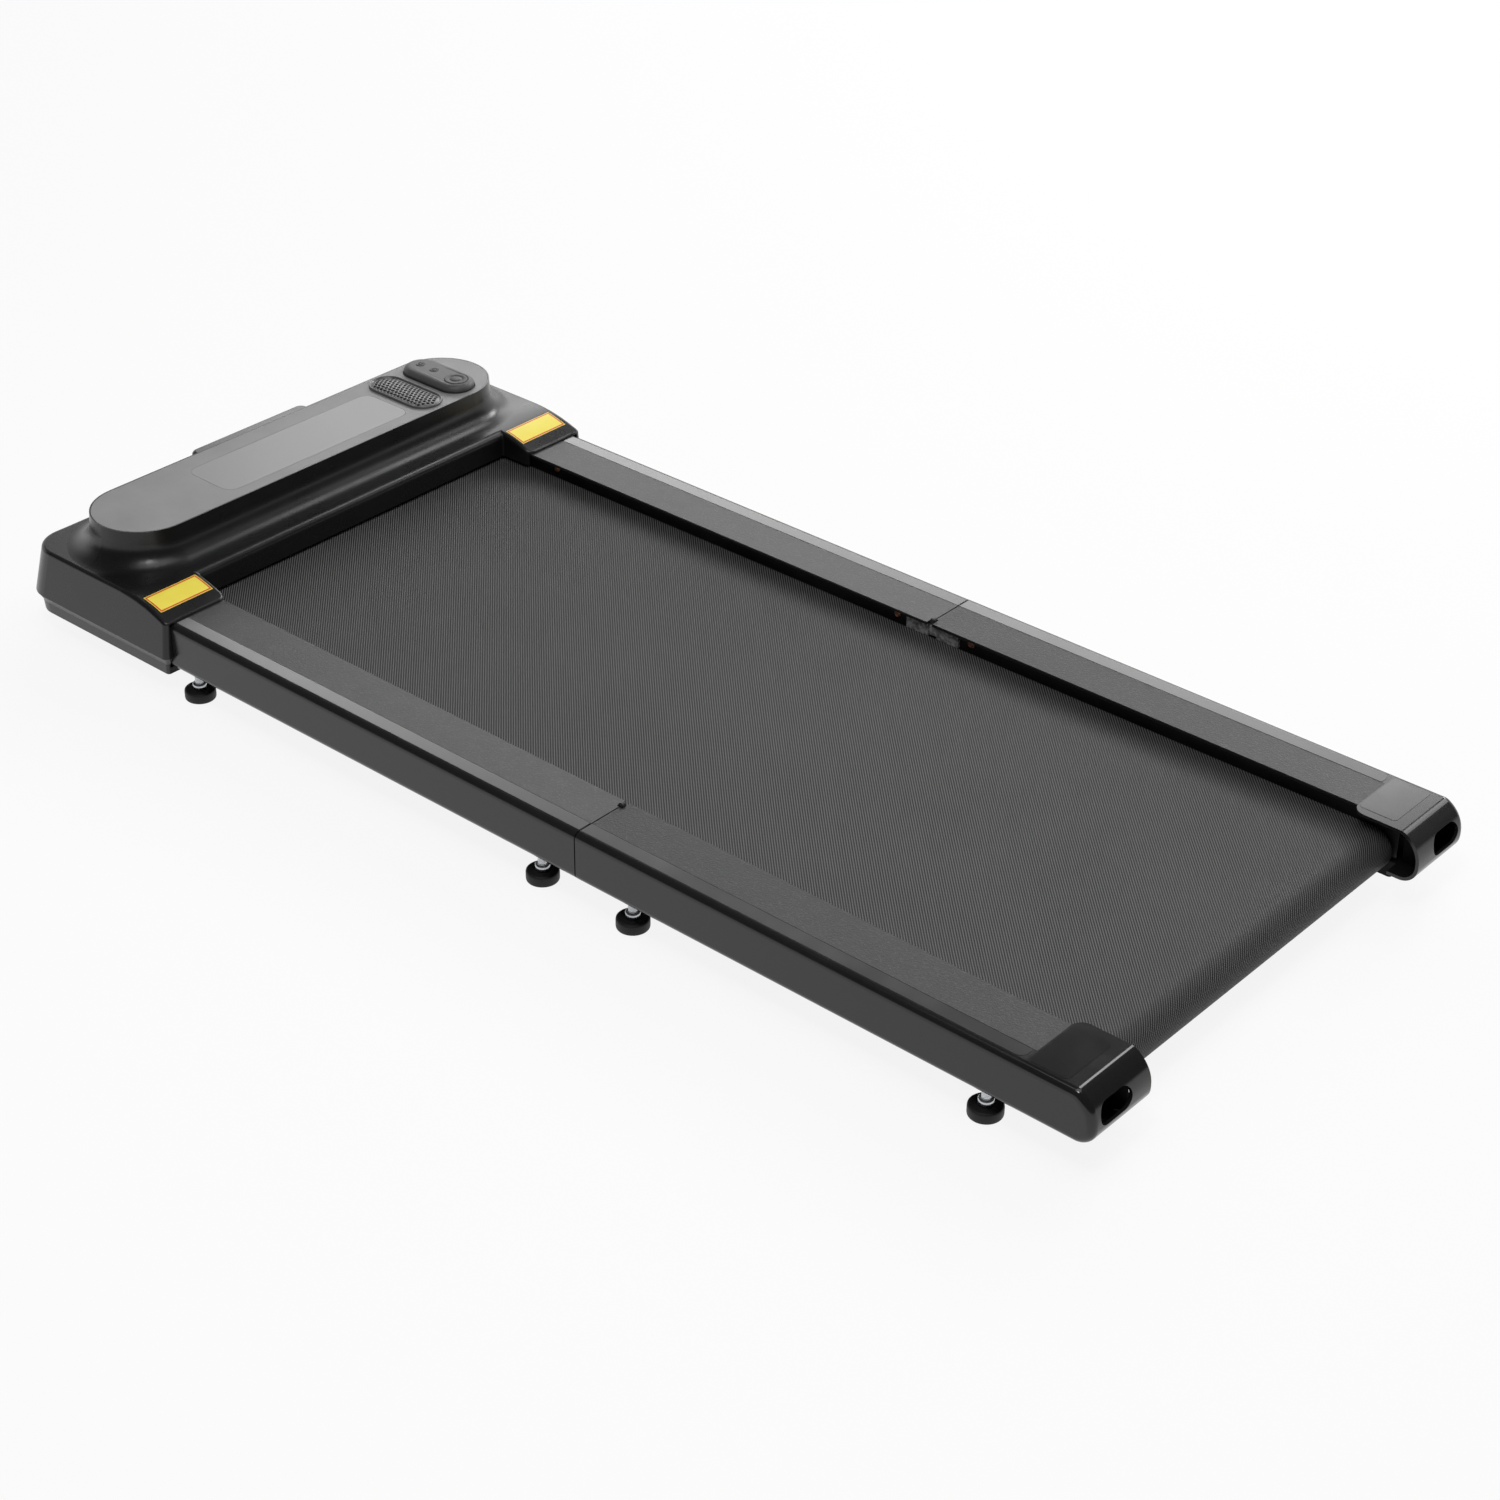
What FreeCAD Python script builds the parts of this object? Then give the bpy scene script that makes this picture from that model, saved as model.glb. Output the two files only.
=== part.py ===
import FreeCAD, Part
import math
import os

V = FreeCAD.Vector

# Lengths along the deck; X points to the hood, measured from the fold seam
REAR_HALF = 523.0
FRONT_RAIL = 511.0
HOOD_LENGTH = 212.0
SEAM_GAP = 1.2

# Half widths; Y points to the walker's left
BELT_HALF = 206.0
STRIP_TUCK = 3.0
RAIL_SIDE_GAP = 5.0
TUBE_WIDTH = 53.0
COVER_T = 3.0
STRIP_WIDTH = 43.0
HOOD_OVERHANG = 9.0

# Heights above the floor
RAIL_LIFT = 29.0
RAIL_HEIGHT = 47.0
BELT_DROP = 16.0
BELT_T = 1.8
BELT_PLAY = 0.2
DECK_T = 15.0
CUSHION_T = 3.0
MEMBER_HEIGHT = 14.0

# Rails, covers and grip strips
TUBE_WALL = 2.0
TUBE_CORNER = 4.0
COVER_EDGE_R = 7.0
COVER_LIP = 2.0
COVER_TUCK = 12.0
STRIP_T = 1.2
STRIP_PLAY = 0.3
TUBE_REACH = 29.0
MEMBER_WIDTH = 30.0
MEMBER_WALL = 1.5
MEMBER_FROM_SEAM = 35.0
MEMBER_FROM_END = 62.0
DECK_PLAY = 1.4
DECK_END_GAP = 6.0
CUSHION_LENGTH = 60.0
CUSHION_INSET = 40.0

# Rear end caps
CAP_LENGTH = 68.0
CAP_OVERHANG = 10.0
CAP_CORNER = 12.0
CAP_TOP_BACK = 18.0
CAP_CREST_DROP = 10.0
CAP_REAR_R = 29.0
CAP_BELT_GAP = 4.0
CAP_LOW_R = 17.0
CAP_SLOT_WIDTH = 40.0
CAP_SLOT_HEIGHT = 20.0
CAP_SLOT_FROM_SIDE = 30.0
TUBE_END_BACK = 30.0
END_PLATE_T = 4.0

# Rollers
ROLLER_R = 18.0
ROLLER_WALL = 2.5
ROLLER_OVER = 1.0
AXLE_R = 5.5
RUN_PLAY = 0.05
SEAT_PLAY = 0.02
BEARING_T = 10.0
REAR_ROLLER_BACK = 52.0
FRONT_ROLLER_AHEAD = 31.0
BLOCK_LENGTH = 40.0
BLOCK_WIDTH = 30.0
BLOCK_PLAY = 0.3
TENSION_BOLT_R = 4.0
TENSION_HEAD_R = 6.5
TENSION_HEAD_T = 6.0
TENSION_STROKE = 8.0

# Fold hinge
FOLD_RISE = 0.3
LEAF_T = 1.6
LEAF_PLAY = 0.2
LEAF_LENGTH = 30.0
LEAF_SETBACK = 5.0
EYE_R = 2.6
PIN_R = 1.2
PIN_HEAD_R = 2.0
PIN_HEAD_T = 0.8
NOTCH_PLAY = 0.6

# Levelling feet
FOOT_R = 14.5
FOOT_HEIGHT = 10.6
COLLAR_R = 6.5
COLLAR_T = 5.5
STUD_R = 4.0
STUD_IN = 14.0
NUT_ACROSS = 13.0
NUT_T = 6.5
NUT_PLAY = 0.1
FOOT_FROM_SIDE = 14.0
FOOT_FROM_SEAM = 52.0
FOOT_BEHIND_EAR = 16.5
FOOT_FROM_REAR = 106.0

# Hood shell
CREASE_RISE = 13.0
SHOULDER_RISE = 15.0
POD_RISE = 35.0
HOOD_WALL = 2.5
SIDE_DRAFT = 5.0
FRONT_DRAFT = 11.0
HOOD_CORNER = 32.0
EAR_CORNER = 5.0
EAR_WIDTH = 77.0
EAR_TIP = 2.0
EAR_INNER_R = 9.0
EAR_EDGE_R = 2.0
EAR_RUN = 64.0
LIP_BACK = 38.0
LIP_R = 8.0
LIP_CLEAR = 4.0
HOOD_EDGE_R = 3.5
POD_SIDE = 34.5
POD_RIM = 1.5
POD_WALL_TILT = 4.0
POD_FLARE_R = 25.0
RAIL_PLAY = 0.4
BUMP_HALF = 74.0
BUMP_RISE = 24.0
BUMP_BACK = 11.5
BUMP_EDGE_R = 4.0

# Bottom pan and chassis tray
PAN_DROP = 7.0
PAN_STEP = 5.0
PAN_BEVEL = 9.0
PAN_WALL = 2.0
PAN_REVEAL = 0.5
PAN_BELT_GAP = 1.8
PAN_BAY_GAP = 14.0
TRAY_T = 3.0
TRAY_OVER_PAN = 2.5
TRAY_BELT_GAP = 5.0
TRAY_EDGE = 8.0
PAN_RIB_T = 3.0

# Drive
MOTOR_R = 24.0
MOTOR_GAP = 4.0
MOTOR_LENGTH = 96.0
MOTOR_SADDLE = 3.0
SHAFT_R = 5.0
FLYWHEEL_R = 22.0
FLYWHEEL_T = 14.0
MOTOR_PULLEY_R = 8.0
ROLLER_PULLEY_R = 12.0
PULLEY_WIDTH = 15.0
PULLEY_RIM = 1.5
PULLEY_FLANGE = 2.0
DRIVE_BELT_T = 2.0
DRIVE_BELT_PLAY = 0.3
DRIVE_BELT_WIDTH = 10.0
CONTROLLER_LENGTH = 120.0
CONTROLLER_HEIGHT = 34.0
CONTROLLER_WIDTH = 52.0
FIN_HEIGHT = 12.0
FINS = 8

# Console
PANEL_T = 3.0
PANEL_PLAY = 0.3
PANEL_LEDGE = 2.5
WINDOW_LENGTH = 64.0
WINDOW_CORNER = 12.0
WINDOW_T = 1.6
WINDOW_SHIFT = -4.0
WINDOW_GAP = 8.0
BOARD_T = 1.6
POST_HALF = 3.0
BOARD_DROP = 5.0
GRILLE_LENGTH = 91.0
GRILLE_EDGE = 4.0
GRILLE_WIDTH = 39.0
GRILLE_RING = 3.0
GRILLE_RISE = 3.0
GRILLE_TOP_INSET = 1.5
GRILLE_HOLE = 3.8
GRILLE_HOLE_PITCH = 6.2
GRILLE_TO_REMOTE = 47.0
SPEAKER_DEPTH = 14.0
REMOTE_LENGTH = 87.0
REMOTE_WIDTH = 39.0
REMOTE_SINK = 6.0
REMOTE_RISE = 7.5
REMOTE_PLAY = 0.8
REMOTE_BEVELS = ((5.0, 0.0), (1.5, 1.5), (0.0, 5.0))
DOCK_WALL = 2.0
DOCK_EDGE = 3.0
BUTTON_R = 4.5
BIG_BUTTON_R = 12.0
BUTTON_DEPTH = 2.4
BUTTON_RISE = 0.5
BUTTON_PLAY = 0.3
BUTTON_TRAVEL = 0.8
SMALL_BUTTON_AHEAD = 7.0
SMALL_BUTTON_PITCH = 20.0
BIG_BUTTON_BEHIND = 25.0

# Power entry in the front wall
ENTRY_HALF = 36.0
ENTRY_HEIGHT = 32.0
ENTRY_ABOVE_CREASE = 8.0
ENTRY_BACK = 16.0
ENTRY_FACE_T = 3.0
ENTRY_DEPTH = 22.0
ENTRY_PLAY = 0.3
INLET_WIDTH = 24.0
INLET_HEIGHT = 16.0
INLET_DEPTH = 16.0
ROCKER_R = 8.5
ROCKER_WIDTH = 13.0
ROCKER_TILT = 8.0
ROCKER_PLAY = 0.3

# Transport wheels
WHEEL_R = 16.0
WHEEL_WIDTH = 14.0
WHEEL_RECESS = 2.0
WHEEL_TYRE = 5.0
WHEEL_AXLE_R = 3.0
WHEEL_PLAY = 0.5
WHEEL_INSET = 24.0
WELL_PLAY = 0.5
WHEEL_FROM_FRONT = 26.0
WHEEL_LIFT = 4.0

# Places that follow from the sizes above; the origin is the middle of the footprint
SEAM_X = (REAR_HALF - FRONT_RAIL - HOOD_LENGTH) / 2
REAR_X = SEAM_X - REAR_HALF
EAR_X = SEAM_X + FRONT_RAIL
FRONT_X = EAR_X + HOOD_LENGTH
STRIP_IN = BELT_HALF - STRIP_TUCK
STRIP_OUT = STRIP_IN + STRIP_WIDTH
TUBE_IN = BELT_HALF + RAIL_SIDE_GAP
TUBE_OUT = TUBE_IN + TUBE_WIDTH
RAIL_OUT = TUBE_OUT + COVER_T
HOOD_HALF = RAIL_OUT + HOOD_OVERHANG
RAIL_TOP = RAIL_LIFT + RAIL_HEIGHT
TUBE_BOTTOM = RAIL_LIFT + COVER_T
TUBE_TOP = RAIL_TOP - COVER_T
TUBE_MID = (TUBE_BOTTOM + TUBE_TOP) / 2
BELT_TOP = RAIL_TOP - BELT_DROP
DECK_TOP = BELT_TOP - BELT_T - BELT_PLAY
DECK_BOTTOM = DECK_TOP - DECK_T
MEMBER_TOP = DECK_BOTTOM - CUSHION_T
MEMBER_BOTTOM = MEMBER_TOP - MEMBER_HEIGHT
ROLLER_Z = DECK_TOP - ROLLER_R
BELT_OUT_R = ROLLER_R + BELT_PLAY + BELT_T
REAR_ROLLER_X = REAR_X + REAR_ROLLER_BACK
LIP_X = EAR_X + LIP_BACK
FRONT_ROLLER_X = LIP_X + FRONT_ROLLER_AHEAD
CAP_X = REAR_X + CAP_LENGTH
CAP_IN = STRIP_IN - CAP_OVERHANG
TUBE_REAR_X = REAR_X + TUBE_END_BACK
TUBE_FRONT_X = EAR_X + TUBE_REACH
COVER_FRONT_X = EAR_X + COVER_TUCK
FOLD_Z = RAIL_TOP + FOLD_RISE
FOOT_Y = RAIL_OUT - FOOT_FROM_SIDE
FRONT_FEET_X = (EAR_X - FOOT_BEHIND_EAR, SEAM_X + FOOT_FROM_SEAM)
REAR_FEET_X = (SEAM_X - FOOT_FROM_SEAM, REAR_X + FOOT_FROM_REAR)
CREASE_Z = RAIL_LIFT + CREASE_RISE
SHOULDER_Z = RAIL_TOP + SHOULDER_RISE
PANEL_TOP = SHOULDER_Z + POD_RISE
PANEL_BOTTOM = PANEL_TOP - PANEL_T
EAR_IN = HOOD_HALF - EAR_WIDTH
EAR_FLAT_X = EAR_X + EAR_RUN
EAR_DROP = SHOULDER_RISE - EAR_TIP
EAR_R = (EAR_RUN ** 2 + EAR_DROP ** 2) / (2 * EAR_DROP)
POD_R = max(GRILLE_LENGTH / 2 + GRILLE_EDGE, REMOTE_LENGTH / 2 + REMOTE_PLAY + DOCK_WALL + DOCK_EDGE)
ROOF_REAR_X = LIP_X + LIP_R
ROOF_FRONT_X = FRONT_X - FRONT_DRAFT - HOOD_EDGE_R - RAIL_PLAY
POD_X = (ROOF_REAR_X + ROOF_FRONT_X) / 2
POD_HALF = HOOD_HALF - POD_SIDE - POD_R
PAN_BOTTOM = RAIL_LIFT - PAN_DROP
PAN_FLOOR = PAN_BOTTOM + PAN_WALL
TRAY_BOTTOM = PAN_FLOOR + TRAY_OVER_PAN
TRAY_TOP = TRAY_BOTTOM + TRAY_T
TRAY_REAR_X = FRONT_ROLLER_X + BELT_OUT_R + TRAY_BELT_GAP
MOTOR_X = TRAY_REAR_X + MOTOR_GAP + MOTOR_R
TRAY_FRONT_X = MOTOR_X + MOTOR_R + TRAY_EDGE
MOTOR_Z = TRAY_TOP + 2 * MOTOR_SADDLE + MOTOR_R
PULLEY_Y = BELT_HALF + ROLLER_OVER
MOTOR_END_Y = PULLEY_Y - 12.0
MOTOR_START_Y = MOTOR_END_Y - MOTOR_LENGTH
WINDOW_HALF = POD_HALF - GRILLE_TO_REMOTE - GRILLE_WIDTH / 2 - WINDOW_GAP
GRILLE_Y = GRILLE_TO_REMOTE - POD_HALF
REMOTE_Y = -POD_HALF
DOCK_FLOOR = PANEL_TOP - REMOTE_SINK
REMOTE_TOP = PANEL_TOP + REMOTE_RISE
ENTRY_BOTTOM = CREASE_Z + ENTRY_ABOVE_CREASE
ENTRY_Z = ENTRY_BOTTOM + ENTRY_HEIGHT / 2
ENTRY_X = FRONT_X - ENTRY_BACK
WHEEL_X = FRONT_X - WHEEL_FROM_FRONT
WHEEL_Y = TUBE_IN + WHEEL_INSET
WHEEL_Z = WHEEL_LIFT + WHEEL_R


# Small shape makers
def box(xs, ys, zs):
    corner = V(xs[0], ys[0], zs[0])
    return Part.makeBox(xs[1] - xs[0], ys[1] - ys[0], zs[1] - zs[0], corner)


def round_y(x, z, radius, y0, y1):
    return Part.makeCylinder(radius, y1 - y0, V(x, y0, z), V(0, 1, 0))


def round_x(y, z, radius, x0, x1):
    return Part.makeCylinder(radius, x1 - x0, V(x0, y, z), V(1, 0, 0))


def round_z(x, y, radius, z0, z1):
    return Part.makeCylinder(radius, z1 - z0, V(x, y, z0), V(0, 0, 1))


def mirrored(shape):
    return shape.mirror(V(0, 0, 0), V(0, 1, 0))


def both_sides(shape):
    return Part.makeCompound([shape, mirrored(shape)])


# Outline with rounded corners; each corner is (u, v, radius) and place puts it in space
def rounded_wire(corners, place):
    spans = []
    for i, (u, v, radius) in enumerate(corners):
        here = V(u, v, 0)
        before = corners[i - 1]
        after = corners[(i + 1) % len(corners)]
        back = (V(before[0], before[1], 0) - here).normalize()
        ahead = (V(after[0], after[1], 0) - here).normalize()
        half = back.getAngle(ahead) / 2
        reach = radius / math.tan(half)
        bulge = radius / math.sin(half) - radius
        middle = here + (back + ahead).normalize() * bulge if radius else None
        spans.append((here + back * reach, middle, here + ahead * reach))
    edges = []
    for i, (start, middle, end) in enumerate(spans):
        if middle is not None:
            points = [place(p.x, p.y) for p in (start, middle, end)]
            edges.append(Part.Arc(*points).toShape())
        following = spans[(i + 1) % len(spans)][0]
        if (following - end).Length > 1e-6:
            edges.append(Part.makeLine(place(end.x, end.y), place(following.x, following.y)))
    return Part.Wire(edges)


def level(z):
    return lambda u, v: V(u, v, z)


def prism_z(corners, z0, z1):
    return Part.Face(rounded_wire(corners, level(z0))).extrude(V(0, 0, z1 - z0))


def prism_y(corners, y0, y1):
    wire = rounded_wire(corners, lambda u, v: V(u, y0, v))
    return Part.Face(wire).extrude(V(0, y1 - y0, 0))


def prism_x(corners, x0, x1):
    wire = rounded_wire(corners, lambda u, v: V(x0, u, v))
    return Part.Face(wire).extrude(V(x1 - x0, 0, 0))


def frame_corners(us, vs, radius):
    return [(us[0], vs[0], radius), (us[1], vs[0], radius),
            (us[1], vs[1], radius), (us[0], vs[1], radius)]


def pill(x, y, length, width, grow=0.0):
    half_x = length / 2 + grow
    half_y = width / 2 + grow
    return frame_corners((x - half_x, x + half_x), (y - half_y, y + half_y), min(half_x, half_y))


def turned(profile, place, axis):
    points = [place(r, h) for r, h in profile]
    face = Part.Face(Part.makePolygon(points + points[:1]))
    return face.revolve(place(0, 0), axis, 360)


def edges_inside(shape, xs, ys, zs):
    limits = FreeCAD.BoundBox(xs[0], ys[0], zs[0], xs[1], ys[1], zs[1])
    return [e for e in shape.Edges if limits.isInside(e.BoundBox)]


# Steel rail tubes and the cross tubes welded between them
def rail_tube(x0, x1):
    outer = prism_x(frame_corners((TUBE_IN, TUBE_OUT), (TUBE_BOTTOM, TUBE_TOP), TUBE_CORNER), x0, x1)
    inner = prism_x(frame_corners((TUBE_IN + TUBE_WALL, TUBE_OUT - TUBE_WALL),
                                  (TUBE_BOTTOM + TUBE_WALL, TUBE_TOP - TUBE_WALL),
                                  TUBE_CORNER - TUBE_WALL), x0 - 1, x1 + 1)
    return outer, inner


def stud_holes(rail, places):
    for x in places:
        rail = rail.cut(round_z(x, FOOT_Y, STUD_R + RUN_PLAY, TUBE_BOTTOM - 1, TUBE_BOTTOM + 2 * TUBE_WALL))
    return rail


def front_rail():
    outer, inner = rail_tube(SEAM_X + SEAM_GAP / 2, TUBE_FRONT_X)
    return stud_holes(outer.cut(inner), FRONT_FEET_X)


def rear_rail():
    outer, inner = rail_tube(TUBE_REAR_X, SEAM_X - SEAM_GAP / 2)
    plate = box((TUBE_REAR_X - 2, TUBE_REAR_X + END_PLATE_T), (TUBE_IN, TUBE_OUT), (TUBE_BOTTOM, TUBE_TOP))
    rail = outer.cut(inner.cut(plate))
    slot = frame_corners((REAR_ROLLER_X - AXLE_R - TENSION_STROKE, REAR_ROLLER_X + AXLE_R + TENSION_STROKE),
                         (ROLLER_Z - AXLE_R - RUN_PLAY, ROLLER_Z + AXLE_R + RUN_PLAY), AXLE_R)
    rail = rail.cut(prism_y(slot, TUBE_IN - 1, TUBE_IN + TUBE_CORNER))
    bore_end = TUBE_REAR_X + END_PLATE_T + 1
    rail = rail.cut(round_x(bolt_y(), TUBE_MID, TENSION_BOLT_R + RUN_PLAY, TUBE_REAR_X - 1, bore_end))
    return stud_holes(rail, REAR_FEET_X)


def member_places(side):
    first = SEAM_X + side * MEMBER_FROM_SEAM
    last = deck_end(side) - side * MEMBER_FROM_END
    return [first, (first + last) / 2, last]


def crossmembers(side):
    tubes = []
    for x in member_places(side):
        xs = (x - MEMBER_WIDTH / 2, x + MEMBER_WIDTH / 2)
        outer = frame_corners(xs, (MEMBER_BOTTOM, MEMBER_TOP), 2.5)
        inner = box((x - MEMBER_WIDTH / 2 + MEMBER_WALL, x + MEMBER_WIDTH / 2 - MEMBER_WALL),
                    (-TUBE_IN - 1, TUBE_IN + 1), (MEMBER_BOTTOM + MEMBER_WALL, MEMBER_TOP - MEMBER_WALL))
        tubes.append(prism_y(outer, -TUBE_IN, TUBE_IN).cut(inner))
    return Part.makeCompound(tubes)


# Deck boards on rubber cushions
def deck_end(side):
    roller = FRONT_ROLLER_X if side > 0 else REAR_ROLLER_X
    return roller - side * (BELT_OUT_R + DECK_END_GAP)


def deck_board(side):
    inner = SEAM_X + side * SEAM_GAP
    outer = deck_end(side)
    xs = (min(inner, outer), max(inner, outer))
    half = BELT_HALF + DECK_PLAY
    board = box(xs, (-half, half), (DECK_BOTTOM, DECK_TOP))
    lead = edges_inside(board, (outer - 1, outer + 1), (-half - 1, half + 1), (DECK_TOP - 1, DECK_TOP + 1))
    return board.makeFillet(4.0, lead)


def deck_cushions(side):
    pads = []
    y1 = BELT_HALF - CUSHION_INSET
    for x in member_places(side):
        half = MEMBER_WIDTH / 2 - CUSHION_T
        pads.append(box((x - half, x + half), (y1 - CUSHION_LENGTH, y1), (MEMBER_TOP, DECK_BOTTOM)))
        pads.append(mirrored(pads[-1]))
    return Part.makeCompound(pads)


# Moulded side covers; the rear ones close into a hollow end cap
def hinge_notch():
    reach = EYE_R + NOTCH_PLAY
    ys = (CAP_IN - 1, TUBE_IN + 2 * PIN_HEAD_T)
    return box((SEAM_X - reach, SEAM_X + reach), ys, (TUBE_TOP - 1, RAIL_TOP + 1))


def strip_bed(x0, x1):
    return box((x0, x1), (CAP_IN - 1, STRIP_OUT + STRIP_PLAY), (RAIL_TOP - STRIP_T, RAIL_TOP + 1))


def front_cover():
    x0 = SEAM_X + SEAM_GAP / 2
    cover = box((x0, COVER_FRONT_X), (STRIP_IN, RAIL_OUT), (RAIL_LIFT, RAIL_TOP))
    cover = cover.makeFillet(COVER_EDGE_R, edges_inside(
        cover, (x0 - 1, COVER_FRONT_X + 1), (RAIL_OUT - 1, RAIL_OUT + 1), (RAIL_LIFT - 1, RAIL_LIFT + 1)))
    cover = cover.makeFillet(COVER_EDGE_R, edges_inside(
        cover, (x0 - 1, COVER_FRONT_X + 1), (RAIL_OUT - 1, RAIL_OUT + 1), (RAIL_TOP - 1, RAIL_TOP + 1)))
    cover = cover.cut(box((x0 - 1, COVER_FRONT_X + 1), (STRIP_IN - 1, TUBE_OUT), (TUBE_BOTTOM, TUBE_TOP)))
    cover = cover.cut(box((x0 - 1, COVER_FRONT_X + 1), (STRIP_IN - 1, TUBE_OUT - COVER_LIP),
                          (RAIL_LIFT - 1, TUBE_BOTTOM)))
    cover = cover.cut(strip_bed(x0 - 1, COVER_FRONT_X + 1))
    return cover.cut(hinge_notch())


def cap_profile(inset):
    front = SEAM_X - SEAM_GAP / 2
    rear = REAR_X + inset
    top = RAIL_TOP - inset
    bottom = RAIL_LIFT + inset
    crest = REAR_X + CAP_TOP_BACK + inset / 2
    crest_r = max(COVER_EDGE_R + 0.5 - inset, 1.0)
    return [(front, bottom, 0), (front, top, 0), (crest, top, crest_r),
            (rear, top - CAP_CREST_DROP + inset / 2, CAP_REAR_R - inset), (rear, bottom, CAP_LOW_R - inset)]


def rear_cover():
    x1 = SEAM_X - SEAM_GAP / 2
    cover = prism_y(cap_profile(0.0), CAP_IN, RAIL_OUT)
    rim = [e for e in cover.Edges if e.BoundBox.YMin > RAIL_OUT - 0.1 and e.BoundBox.XMin < x1 - 0.1]
    cover = cover.makeFillet(COVER_EDGE_R - 0.5, rim)
    hollow = prism_y(cap_profile(COVER_T), CAP_IN - 1, TUBE_OUT)
    cover = cover.cut(hollow)
    inner = box((CAP_X, x1 + 1), (CAP_IN - 5, STRIP_IN), (RAIL_LIFT - 1, RAIL_TOP + 1))
    cover = cover.cut(inner).cut(cap_corner())
    cover = cover.cut(box((CAP_X - 4, x1 + 1), (CAP_IN - 1, TUBE_OUT - COVER_LIP),
                          (RAIL_LIFT - 1, TUBE_BOTTOM)))
    belt_rear = REAR_ROLLER_X - BELT_OUT_R - CAP_BELT_GAP
    cover = cover.cut(box((belt_rear, x1 + 1), (CAP_IN - 1, TUBE_IN), (RAIL_LIFT - 1, TUBE_BOTTOM)))
    slot = pill(cap_slot_y(), cap_slot_z(), CAP_SLOT_WIDTH, CAP_SLOT_HEIGHT)
    cover = cover.cut(prism_x(slot, REAR_X - 1, TUBE_REAR_X - TENSION_HEAD_T))
    cover = cover.cut(strip_bed(CAP_X, x1 + 1))
    return cover.cut(hinge_notch())


def cap_corner():
    low = RAIL_LIFT - 1
    high = RAIL_TOP + 1
    block = box((CAP_X - CAP_CORNER, CAP_X + 1), (CAP_IN - 1, CAP_IN + CAP_CORNER), (low, high))
    keep = round_z(CAP_X - CAP_CORNER, CAP_IN + CAP_CORNER, CAP_CORNER, low, high)
    return block.cut(keep)


def cap_slot_y():
    return RAIL_OUT - CAP_SLOT_FROM_SIDE


def cap_slot_z():
    return TUBE_MID + 2.0


def grip_strip(x0, x1):
    strip = box((x0, x1), (STRIP_IN, STRIP_OUT), (RAIL_TOP - STRIP_T, RAIL_TOP))
    return strip.cut(hinge_notch())


# Zinc hinge leaves; the pins stay in the front leaves and the rear leaves turn on them
def hinge_leaf(side):
    y_far = TUBE_IN
    y_mid = TUBE_IN - LEAF_T
    y_near = TUBE_IN - 2 * LEAF_T - LEAF_PLAY
    z0 = DECK_TOP + 0.5
    z1 = TUBE_TOP - 1.0
    start = SEAM_X + side * LEAF_SETBACK
    end = SEAM_X + side * LEAF_LENGTH
    plate = box((min(start, end), max(start, end)), (y_near, y_far), (z0, z1))
    ys = (y_mid, y_far) if side > 0 else (y_near, y_near + LEAF_T)
    arm = box((SEAM_X - EYE_R, SEAM_X + EYE_R), ys, (z0 + EYE_R, FOLD_Z))
    link = box((min(SEAM_X, start), max(SEAM_X, start)), ys, (z0 + EYE_R, z1))
    leaf = plate.fuse(arm).fuse(link).fuse(round_y(SEAM_X, FOLD_Z, EYE_R, ys[0], ys[1]))
    play = SEAT_PLAY if side > 0 else RUN_PLAY
    return leaf.cut(round_y(SEAM_X, FOLD_Z, PIN_R + play, y_near - 2, y_far + 2)).removeSplitter()


def hinge_pin():
    y_near = TUBE_IN - 2 * LEAF_T - LEAF_PLAY
    pin = round_y(SEAM_X, FOLD_Z, PIN_R, y_near - 0.1, TUBE_IN + PIN_HEAD_T)
    head = round_y(SEAM_X, FOLD_Z, PIN_HEAD_R, y_near - 0.1 - PIN_HEAD_T, y_near - 0.1)
    return pin.fuse(head).removeSplitter()


# Walking belt as one closed loop over both rollers
def belt_loop(grow):
    radius = ROLLER_R + BELT_PLAY + grow
    return frame_corners((REAR_ROLLER_X - radius, FRONT_ROLLER_X + radius),
                         (ROLLER_Z - radius, ROLLER_Z + radius), radius)


def walking_belt():
    inside = prism_y(belt_loop(0.0), -BELT_HALF - 1, BELT_HALF + 1)
    return prism_y(belt_loop(BELT_T), -BELT_HALF, BELT_HALF).cut(inside)


# Rollers on ball bearings, with dead axles
def roller_tube(x):
    end = BELT_HALF + ROLLER_OVER
    tube = round_y(x, ROLLER_Z, ROLLER_R, -end, end)
    return tube.cut(round_y(x, ROLLER_Z, ROLLER_R - ROLLER_WALL, -end - 1, end + 1))


def bearing_ring(x, y0):
    ring = round_y(x, ROLLER_Z, ROLLER_R - ROLLER_WALL, y0, y0 + BEARING_T)
    return ring.cut(round_y(x, ROLLER_Z, AXLE_R + RUN_PLAY, y0 - 1, y0 + BEARING_T + 1))


def bearings(x):
    return both_sides(bearing_ring(x, BELT_HALF + ROLLER_OVER - BEARING_T))


def front_axle():
    return round_y(FRONT_ROLLER_X, ROLLER_Z, AXLE_R, -RAIL_OUT, RAIL_OUT)


def bolt_y():
    return RAIL_OUT - CAP_SLOT_FROM_SIDE


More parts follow.
